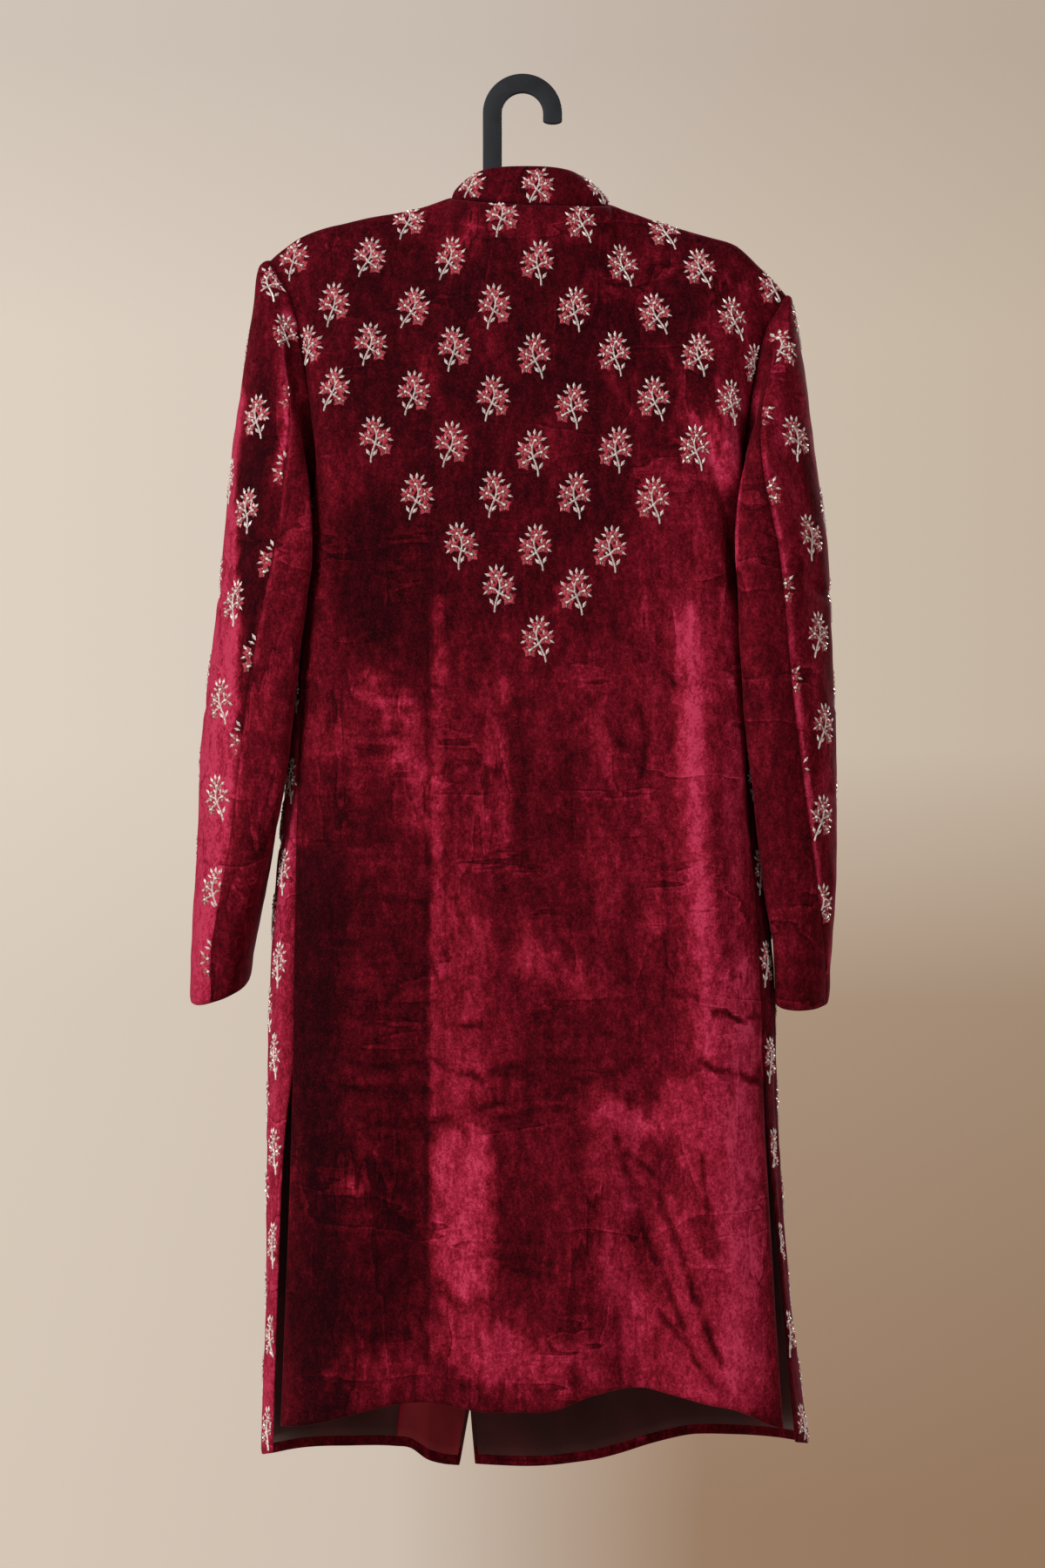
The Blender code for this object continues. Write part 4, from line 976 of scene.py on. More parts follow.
def noise(tree, place, scale, detail=2.0, stretch=(1, 1, 1), roughness=0.5):
    """Noise over the cloth, stretched along the axes; place is a coordinate socket."""
    mapped = add_node(tree, "Mapping", {"Vector": place, "Scale": stretch})
    made = add_node(tree, "TexNoise", {"Vector": mapped.outputs[0], "Scale": scale,
                                       "Detail": detail, "Roughness": roughness})
    return made.outputs[0]


def math_node(tree, operation, *values, clamp=False):
    node = add_node(tree, "Math", dict(enumerate(values)), operation=operation,
                    use_clamp=clamp)
    return node.outputs[0]


def map_range(tree, value, low, high, to_low=0.0, to_high=1.0):
    """A value whose range from low to high is moved to another range."""
    node = add_node(tree, "MapRange", {"Value": value, "From Min": low, "From Max": high,
                                       "To Min": to_low, "To Max": to_high})
    return node.outputs[0]


def mix_colours(tree, factor, first, second, blend="MIX"):
    """Blend the second colour into the first, as far as the factor says."""
    node = add_node(tree, "Mix", {0: factor, 6: first, 7: second}, data_type="RGBA",
                    blend_type=blend)
    return node.outputs[2]


def bump(tree, height, strength, distance):
    node = add_node(tree, "Bump", {"Height": height, "Strength": strength,
                                   "Distance": distance})
    return node.outputs[0]


def ramp(tree, factor, stops):
    """Colours along a factor, from stops of (position, colour)."""
    node = add_node(tree, "ValToRGB", {"Fac": factor})
    node.color_ramp.elements[0].position = stops[0][0]
    node.color_ramp.elements[-1].position = stops[-1][0]
    for position, _ in stops[1:-1]:
        node.color_ramp.elements.new(position)
    for element, (_, colour) in zip(node.color_ramp.elements, stops):
        element.color = (*colour, 1.0)
    return node.outputs[0]


# The velvet's colour from the darkest to the lightest tone of its nap and painted light, and
# that of the painted glints of its pile
VELVET_TONES = [
    (0.00, (0.0100, 0.0003, 0.0014)),
    (0.20, (0.0290, 0.0006, 0.0026)),
    (0.40, (0.0700, 0.0016, 0.0056)),
    (0.55, (0.1250, 0.0036, 0.0110)),
    (0.70, (0.2100, 0.0082, 0.0250)),
    (0.85, (0.3200, 0.0150, 0.0470)),
    (1.00, (0.4600, 0.0370, 0.0940)),
]

PILE_GLINT = (0.38, 0.070, 0.13, 1.0)
PILE_GLINT_SHARE = 0.17

# Noise over the velvet, and how much each sort of it changes the tone
Field = namedtuple("Field", "scale detail stretch roughness share")
STREAKS = Field(42, 3, (1, 1, 0.30), 0.60, 0.60)
MOTTLE = Field(150, 3, (1, 1, 0.60), 0.65, 0.90)
TUFTS = Field(420, 2, (1, 1, 0.80), 0.60, 0.92)
GRAIN = Field(900, 2, (1, 1, 1.60), 0.70, 0.92)

# Crush marks, each a painted shaded side beside a painted lit side: their lines, the patches
# in which they show and their share of the tone
Crush = namedtuple("Crush", "scale stretch patches share")
CRUSHES = [
    Crush(10, (0.42, 1, 2.0), 14, 0.62),
    Crush(9, (2.3, 1, 0.48), 11, 0.58),
]
CRUSH_SHADE_AND_LIGHT = [(0.458, 0.50), (0.485, 0.36), (0.496, 0.06), (0.507, 0.92), (0.524, 0.62),
                (0.550, 0.50)]
CRUSH_DETAIL = 4
CRUSH_ROUGHNESS = 0.52
CRUSH_SHOWS = (0.46, 0.60)

# How far the noise moves the tone: least where the painted tone is darkest, and more the
# lighter it is
TONE_DEPTH = 0.55
TONE_DEPTH_RISE = 0.25
TUFT_HEIGHT = 0.8
UNEVEN_STOPS = (0.3, 0.7)


def shaded_crush_marks(tree, place, crush):
    """Thin broken crush marks, with painted shade on one side and painted light on the other,
    about zero.
    """
    line = ramp(tree, noise(tree, place, crush.scale, CRUSH_DETAIL, crush.stretch,
                            CRUSH_ROUGHNESS),
                [(at, (level,) * 3) for at, level in CRUSH_SHADE_AND_LIGHT])
    where = map_range(tree, noise(tree, place, crush.patches, 1), *CRUSH_SHOWS)
    return math_node(tree, "MULTIPLY", math_node(tree, "SUBTRACT", line, 0.5), where)


def velvet():
    """Pile velvet: tone follows the nap's lie and its painted sheen, light and shade, broken
    up by noise, by crush marks with a painted shaded and lit side, and by painted glints.
    """
    made, tree, shader, place = node_material("burgundy velvet")
    nap_and_painted_light = add_node(tree, "Attribute", attribute_name="nap_and_painted_light").outputs["Fac"]
    rough = 0.0
    fields = {}
    for field in (STREAKS, MOTTLE, TUFTS, GRAIN):
        fields[field] = noise(tree, place, *field[:4])
        centred = math_node(tree, "SUBTRACT", fields[field], 0.5)
        rough = math_node(tree, "MULTIPLY_ADD", centred, field.share, rough)
    for crush in CRUSHES:
        # Crush marks with painted shade and light along their sides
        marks = shaded_crush_marks(tree, place, crush)
        rough = math_node(tree, "MULTIPLY_ADD", marks, crush.share, rough)
    depth = math_node(tree, "MULTIPLY_ADD", nap_and_painted_light, TONE_DEPTH_RISE, TONE_DEPTH)
    tone = math_node(tree, "MULTIPLY_ADD", rough, depth, nap_and_painted_light)
    # Painted glints of the pile's sheen: pale specks where the finest noise is high
    light = math_node(tree, "SUBTRACT", fields[GRAIN], 0.5)
    pile_glints = math_node(tree, "MULTIPLY", light, PILE_GLINT_SHARE, clamp=True)
    height = math_node(tree, "MULTIPLY_ADD", fields[TUFTS], TUFT_HEIGHT, fields[GRAIN])
    connect(tree, shader, {
        "Base Color": mix_colours(tree, pile_glints, ramp(tree, tone, VELVET_TONES), PILE_GLINT),
        "Roughness": 0.90,
        "Specular IOR Level": 0.04,
        "Sheen Weight": 0.22,
        "Sheen Roughness": 0.30,
        "Sheen Tint": (0.90, 0.10, 0.22, 1.0),
        "Normal": bump(tree, height, 0.45, 0.0012),
    })
    return made


def satin(name, dark, bright):
    """Smooth lining with a fine rib and a soft shine."""
    made, tree, shader, place = node_material(name)
    uneven = noise(tree, place, 26, 2, (1, 1, 0.5))
    ribs = noise(tree, place, 2600, 0, (1, 1, 0.08))
    connect(tree, shader, {
        "Base Color": ramp(tree, uneven, list(zip(UNEVEN_STOPS, (dark, bright)))),
        "Roughness": 0.42,
        "Specular IOR Level": 0.16,
        "Sheen Weight": 0.05,
        "Normal": bump(tree, ribs, 0.15, 0.0004),
    })
    return made


def glossy(name, dark, bright, roughness, metallic=0.0, scale=600, specular=0.5):
    """Thread, metal, glass or plastic with a little unevenness in tone and surface."""
    made, tree, shader, place = node_material(name)
    uneven = noise(tree, place, scale)
    connect(tree, shader, {
        "Base Color": ramp(tree, uneven, list(zip(UNEVEN_STOPS, (dark, bright)))),
        "Roughness": map_range(tree, uneven, 0.0, 1.0, roughness * 0.8, roughness * 1.25),
        "Metallic": metallic,
        "Specular IOR Level": specular,
        "Normal": bump(tree, uneven, 0.3, 0.0003),
    })
    return made


# ---------------------------------------------------------------- embroidery

# One flower sprig, in millimetres from its middle, y upwards, with turns in degrees
Leaf = namedtuple("Leaf", "x y turn length")
Flower = namedtuple("Flower", "x y petals turn")
STEMS = [
    ((-6.0, -18.4), (-5.2, -14.0), (-3.2, -8.6), (-0.9, -3.4), (0.2, 1.8), (-0.4, 6.0),
     (-1.6, 9.4)),
    ((-1.4, -4.6), (2.4, -7.0), (5.8, -9.4)),
    ((-1.4, -4.4), (-4.2, -1.4), (-7.6, 0.2)),
    ((-0.3, -1.6), (2.4, -0.2), (5.2, 0.4)),
]
FLOWERS = [
    Flower(-2.2, 8.8, 6, 90),
    Flower(5.2, 1.0, 6, 62),
    Flower(6.0, -9.2, 5, 20),
    Flower(-7.4, -0.2, 5, 100),
]
LEAVES = [
    Leaf(-5.4, 14.4, 116, 5.6), Leaf(-1.2, 15.2, 90, 5.2), Leaf(3.0, 13.8, 60, 5.6),
    Leaf(4.6, 9.4, 24, 5.0), Leaf(-8.4, 10.2, 152, 5.2), Leaf(-11.2, 3.6, 144, 4.8),
    Leaf(-11.4, -3.4, 212, 4.6), Leaf(9.6, 5.2, 48, 5.2), Leaf(10.6, -2.4, 340, 4.6),
    Leaf(-5.8, 4.6, 100, 4.2), Leaf(1.6, 5.2, 66, 4.4), Leaf(1.8, -4.2, 48, 4.2),
    Leaf(-7.6, -10.8, 116, 5.6), Leaf(-2.0, -11.8, 50, 5.6),
]
LEAF_SCALE = 1.12
LEAF_SHARE = 0.46
LEAF_HEIGHT = 1.3
CORD_PITCH = 1.25
CORD_WIDTH = 1.80
CORD_HEIGHT = 1.4
CORD_SLANT = 24
CORD_AHEAD = 0.5
PETAL_LENGTH = 5.4
PETAL_WIDTH = 4.0
PETAL_HEIGHT = 1.2
PETAL_REACH = 3.4
PETAL_STAGGER = 0.15
OUTLINE_REACH_SHARE = 0.85
OUTLINE_LENGTH = 3.0
OUTLINE_WIDTH = 0.8
OUTLINE_HEIGHT = 1.5
STONE_RADIUS = 1.25
STONE_HEIGHT = 1.7
STONE_GIRDLE = 0.765
STONE_TOP_SHARE = 0.55
STONE_SIDES = 6
GRAIN_EDGE = 0.1
GRAIN_SUNK = -0.3
STONE_SUNK = -0.2

# How sprigs are laid on the cloth, in metres and degrees
SPRIG_SIZE = 1.08
STEEPEST = 0.55
LEAST_FACING = 0.1
RAY_START = 0.02
RAY_LENGTH = 0.045
SEEN_FROM = 1.0
SEAM_DEPTH = 0.075
SEAM_REACH = 0.050
SEEN_LEAN = 6
BAND_LEAN = 4
LATTICE_LEAN = 5
LATTICE_WANDER = (0.001, 0.0015)
LATTICE_REACH = 0.012
LATTICE_DROP = 0.079
LATTICE_PITCH = 0.034


def lens(x, y, turn, length, width, height):
    """A pointed grain that lies along a direction: six points, in mm."""
    c, s = math.cos(math.radians(turn)), math.sin(math.radians(turn))
    corners = ((-length / 2, 0, GRAIN_EDGE), (length / 2, 0, GRAIN_EDGE),
               (0, width / 2, GRAIN_EDGE), (0, -width / 2, GRAIN_EDGE),
               (0, 0, height), (0, 0, GRAIN_SUNK))
    verts = [(x + c * u - s * v, y + s * u + c * v, h) for u, v, h in corners]
    faces = [(0, 3, 4), (3, 1, 4), (1, 2, 4), (2, 0, 4), (3, 0, 5), (1, 3, 5), (2, 1, 5),
             (0, 2, 5)]
    return verts, faces


def stone(x, y):
    """A small faceted dome, in mm."""
    sides = STONE_SIDES
    verts = []
    for radius_share, height in ((1.0, STONE_SUNK), (1.0, STONE_GIRDLE),
                                 (STONE_TOP_SHARE, STONE_HEIGHT)):
        radius = STONE_RADIUS * radius_share
        for k in range(sides):
            turn = math.tau * k / sides
            verts.append((x + radius * math.cos(turn), y + radius * math.sin(turn), height))
    faces = [tuple(range(sides))[::-1], tuple(range(2 * sides, 3 * sides))]
    for low in (0, sides):
        for k in range(sides):
            after = (k + 1) % sides
            faces.append((low + k, low + after, low + sides + after, low + sides + k))
    return verts, faces


def cord(path):
    """Twisted cord along a path, as grains that lie slantwise across it."""
    path = np.array(path)
    stations = refine(path, np.linspace(0, len(path) - 1, 4 * len(path)))
    lengths = np.append(0, np.cumsum(np.linalg.norm(np.diff(stations, axis=0), axis=1)))
    pieces = []
    for way in np.arange(0, lengths[-1], CORD_PITCH):
        x, y = (np.interp(way, lengths, stations[:, k]) for k in (0, 1))
        ahead_x, ahead_y = (np.interp(way + CORD_AHEAD, lengths, stations[:, k])
                            for k in (0, 1))
        turn = math.degrees(math.atan2(ahead_y - y, ahead_x - x))
        pieces.append(lens(x, y, turn + CORD_SLANT, CORD_PITCH * 2, CORD_WIDTH, CORD_HEIGHT))
    return pieces


def around(flower, turn, reach):
    """Place at a distance from a flower's middle, in the direction of a turn."""
    return (flower.x + reach * math.cos(math.radians(turn)),
            flower.y + reach * math.sin(math.radians(turn)))


def sprig():
    """Pieces of one flower sprig, in mm: silver thread, red glass and clear stones."""
    silver = [piece for path in STEMS for piece in cord(path)]
    silver += [lens(leaf.x, leaf.y, leaf.turn, leaf.length * LEAF_SCALE,
                    leaf.length * LEAF_SHARE, LEAF_HEIGHT) for leaf in LEAVES]
    red, clear = [], []
    for flower in FLOWERS:
        for k in range(flower.petals):
            turn = flower.turn + 360 * k / flower.petals
            place = around(flower, turn, PETAL_REACH * (1 + PETAL_STAGGER * (k % 2)))
            red.append(lens(*place, turn, PETAL_LENGTH, PETAL_WIDTH, PETAL_HEIGHT))
            between = turn + 180 / flower.petals
            place = around(flower, between, PETAL_REACH * OUTLINE_REACH_SHARE)
            silver.append(lens(*place, between, OUTLINE_LENGTH, OUTLINE_WIDTH,
                               OUTLINE_HEIGHT))
        clear.append(stone(flower.x, flower.y))
    return silver, red, clear


class Surface:
    """The outside of a panel, on which sprigs are laid."""

    def __init__(self, panel):
        grid = panel.grid
        self.panel = panel
        index = np.arange(grid.shape[0] * grid.shape[1]).reshape(grid.shape[:2])
        corners = [index[:-1, :-1], index[1:, :-1], index[1:, 1:], index[:-1, 1:]]
        faces = np.stack([corner[panel.cells] for corner in corners], axis=1)
        self.tree = BVHTree.FromPolygons(grid.reshape(-1, 3).tolist(), faces.tolist())
        self.used = np.zeros(grid.shape[:2], dtype=bool)
        self.used.flat[np.unique(faces)] = True

    def facing(self, place):
        """The wall direction at the grid point nearest to a place."""
        away = ((self.panel.grid - np.array(place)) ** 2).sum(axis=-1)
        away[~self.used] = np.inf
        return self.panel.normals.reshape(-1, 3)[np.argmin(away)]

    def seen(self, x, down):
        """Point and normal at a place seen from straight behind, or just past an edge."""
        hit, _, _, _ = self.tree.ray_cast(Vector((x, SEEN_FROM, -down)), Vector((0, -1, 0)))
        if hit is None or self.facing(hit)[1] < 0:
            hit, _, _, _ = self.tree.find_nearest(Vector((x, SEAM_DEPTH, -down)), SEAM_REACH)
            if hit is None:
                return None
            hit = Vector((x, hit.y, -down))
        return np.array(hit), self.facing(hit)

    def laid(self, across, down):
        """Point and normal of the grid place nearest to a place on the cloth."""
        panel = self.panel
        away = (panel.across - across) ** 2 + (panel.down - down) ** 2
        away[~self.used] = np.inf
        k = np.argmin(away)
        if away.flat[k] > LATTICE_REACH ** 2:
            return None
        return panel.grid.reshape(-1, 3)[k], panel.normals.reshape(-1, 3)[k]


def seen_spots(surface, places, mirror, seed):
    """Frames of the sprigs at listed places: (point, normal, lean, mirror)."""
    chance = np.random.default_rng(seed)
    spots = []
    for x, down in places:
        found = surface.seen(x * MM, down * MM)
        if found:
            spots.append((*found, chance.normal(0, SEEN_LEAN), mirror(x)))
    return spots


def lattice_spots(surface, lattice, seed):
    """Frames of half-drop spots, column by column, each leaning a little its own way."""
    chance = np.random.default_rng(seed)
    spots = []
    for column in range(lattice.columns):
        across = lattice.across + column * LATTICE_PITCH
        start = lattice.down + (LATTICE_DROP / 2 if column % 2 else 0)
        for down in np.arange(start, lattice.last_down, LATTICE_DROP):
            wander_across, wander_down = (chance.normal(0, size) for size in LATTICE_WANDER)
            found = surface.laid(across + wander_across, down + wander_down)
            lean = chance.normal(0, LATTICE_LEAN)
            if found:
                spots.append((*found, lean, lattice.mirror))
    return spots


def band_spots(surface, places, seed):
    """Frames of sprigs along the middle of a band, at distances across it."""
    chance = np.random.default_rng(seed)
    panel = surface.panel
    row = len(panel.grid) // 2
    spots = []
    for across in places:
        k = int(np.argmin(np.abs(panel.across[row] - across * MM)))
        spots.append((panel.grid[row, k], panel.normals[row, k],
                      chance.normal(0, BAND_LEAN), 1))
    return spots


def clear_of(spots, others):
    """The spots, with those of the others that leave room round every one before them."""
    kept = list(spots)
    for other in others:
        if all(np.linalg.norm(np.array(other[0]) - np.array(spot[0])) > SPOT_CLEARANCE
               for spot in kept):
            kept.append(other)
    return kept


def sprig_ways(normal, lean, mirror, widest):
    """Directions along the cloth of a sprig's own x and y, one of its millimetres long."""
    spread_out = min(widest, 1 / max(abs(normal[1]), LEAST_FACING))
    up = unit(np.array([0.0, 0.0, 1.0]) - normal * normal[2])
    right = np.cross(up, normal) * spread_out
    c, s = math.cos(math.radians(lean)), math.sin(math.radians(lean))
    return ((right * c + up * s) * mirror * SPRIG_SIZE * MM,
            (up * c - right * s) * SPRIG_SIZE * MM)


def lay(surface, centre, normal, ways, piece_verts):
    """Vertices of one grain or stone laid on the cloth, or None past its edge."""
    laid = []
    for x, y, height in piece_verts:
        start = centre + ways[0] * x + ways[1] * y + normal * RAY_START
        hit, facing, _, _ = surface.tree.ray_cast(start, -normal, RAY_LENGTH)
        if hit is None:
            return None
        if facing.dot(Vector(normal)) < 0:
            facing = -facing
        if facing.dot(Vector(normal)) < STEEPEST:
            return None
        laid.append(hit + facing * height * MM)
    return laid


def embroider(name, surface, spots, materials, widest=1.0):
    """Sew a sprig at each spot; what falls past the panel's edge is left out."""
    silver, red, clear = sprig()
    thread, red_glass, clear_stone = materials
    made = []
    for part, slot, kinds in (
            ("silver", "silver", ((silver, thread), (clear, clear_stone))),
            ("red", "facing", ((red, red_glass),))):
        verts, faces, kinds_used = [], [], []
        for centre, normal, lean, mirror in spots:
            ways = sprig_ways(normal, lean, mirror, widest)
            for kind, (pieces, _) in enumerate(kinds):
                for piece_verts, piece_faces in pieces:
                    laid = lay(surface, centre, normal, ways, piece_verts)
                    if laid is None:
                        continue
                    base = len(verts)
                    verts += laid
                    faces += [tuple(base + k for k in face)[::mirror] for face in piece_faces]
                    kinds_used += [kind] * len(piece_faces)
        data = bpy.data.meshes.new(name)
        data.from_pydata(verts, [], faces)
        data.polygons.foreach_set("material_index", np.array(kinds_used, dtype=np.int32))
        data.update()
        obj = linked("embroidery_" + part + "_" + name, data)
        for _, finish in kinds:
            obj.data.materials.append(finish)
        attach(obj, "root")
        made.append(obj)
    return made


# ---------------------------------------------------------------- the cloth pieces

# Creases are in metres, as (across, down); the patches of nap and painted light and the
# sprigs' places are in millimetres.  A patch's tone is 0 for the darkest and 1 for the
# lightest.
BACK_CREASES = [
    Line(-0.0011, 0.0036, ((0.079, 0.380), (0.079, 0.640), (0.082, 0.790), (0.081, 1.090))),
    Line(0.0010, 0.0060, ((0.070, 0.480), (0.069, 0.640), (0.073, 0.800), (0.072, 1.080))),
    Line(0.0055, 0.0150, ((-0.172, 0.290), (-0.176, 0.450), (-0.184, 0.640))),
    Line(0.0050, 0.0140, ((0.168, 0.250), (0.171, 0.400), (0.180, 0.560))),
    Line(-0.0014, 0.0040, ((0.013, 0.530), (0.012, 0.640))),
    Line(-0.0016, 0.0030, ((0.098, 0.515), (0.070, 0.520))),
    Line(-0.0018, 0.0030, ((0.101, 0.884), (0.060, 0.878))),
    Line(-0.0016, 0.0030, ((0.032, 0.868), (-0.004, 0.862), (-0.040, 0.852))),
    Line(-0.0010, 0.0026, ((0.020, 0.876), (-0.030, 0.868))),
    Line(-0.0010, 0.0026, ((0.016, 0.994), (-0.030, 0.999))),
    Line(-0.0010, 0.0026, ((0.012, 1.001), (-0.026, 1.006))),
    Line(-0.0014, 0.0050, ((-0.040, 0.985), (-0.042, 1.105))),
    Line(-0.0014, 0.0050, ((-0.081, 1.040), (-0.082, 1.100))),
    Line(-0.0024, 0.0044, ((-0.080, 0.896), (-0.094, 0.935), (-0.104, 0.975), (-0.124, 1.025),
                           (-0.134, 1.050))),
    Line(-0.0022, 0.0044, ((-0.112, 0.938), (-0.128, 0.975), (-0.146, 1.030),
                           (-0.168, 1.084))),
    Line(-0.0020, 0.0044, ((-0.120, 1.045), (-0.142, 1.071), (-0.160, 1.098))),
    Line(0.0018, 0.0100, ((-0.112, 0.960), (-0.140, 1.020), (-0.165, 1.060))),
    Line(-0.0060, 0.0075, ((-0.146, 0.285), (-0.165, 0.320), (-0.171, 0.358), (-0.177, 0.408),
                           (-0.186, 0.458))),
    Line(0.0035, 0.0090, ((-0.160, 0.275), (-0.181, 0.330), (-0.189, 0.380), (-0.196, 0.430))),
    Line(-0.0016, 0.0060, ((0.150, 0.180), (0.120, 0.215), (0.105, 0.260))),
    Line(0.0016, 0.0100, ((-0.030, 0.150), (-0.080, 0.165), (-0.120, 0.160))),
    Line(-0.0016, 0.0036, ((-0.150, 0.832), (-0.176, 0.838), (-0.200, 0.848))),
    Line(-0.0016, 0.0036, ((-0.160, 0.788), (-0.184, 0.796), (-0.204, 0.792))),
    Line(-0.0007, 0.0040, ((-0.074, 0.462), (-0.100, 0.488), (-0.128, 0.512))),
    Line(-0.0007, 0.0040, ((-0.054, 0.522), (-0.080, 0.556), (-0.108, 0.588))),
    Line(0.0010, 0.0070, ((-0.066, 0.520), (-0.092, 0.552), (-0.116, 0.580))),
    Line(-0.0010, 0.0034, ((-0.036, 0.560), (-0.044, 0.620), (-0.040, 0.680))),
    Line(-0.0010, 0.0034, ((-0.084, 0.640), (-0.092, 0.700), (-0.088, 0.760))),
    Line(-0.0012, 0.0036, ((-0.010, 0.815), (-0.060, 0.802), (-0.096, 0.812))),
    Line(-0.0010, 0.0040, ((0.170, 0.745), (0.120, 0.760), (0.095, 0.752))),
]
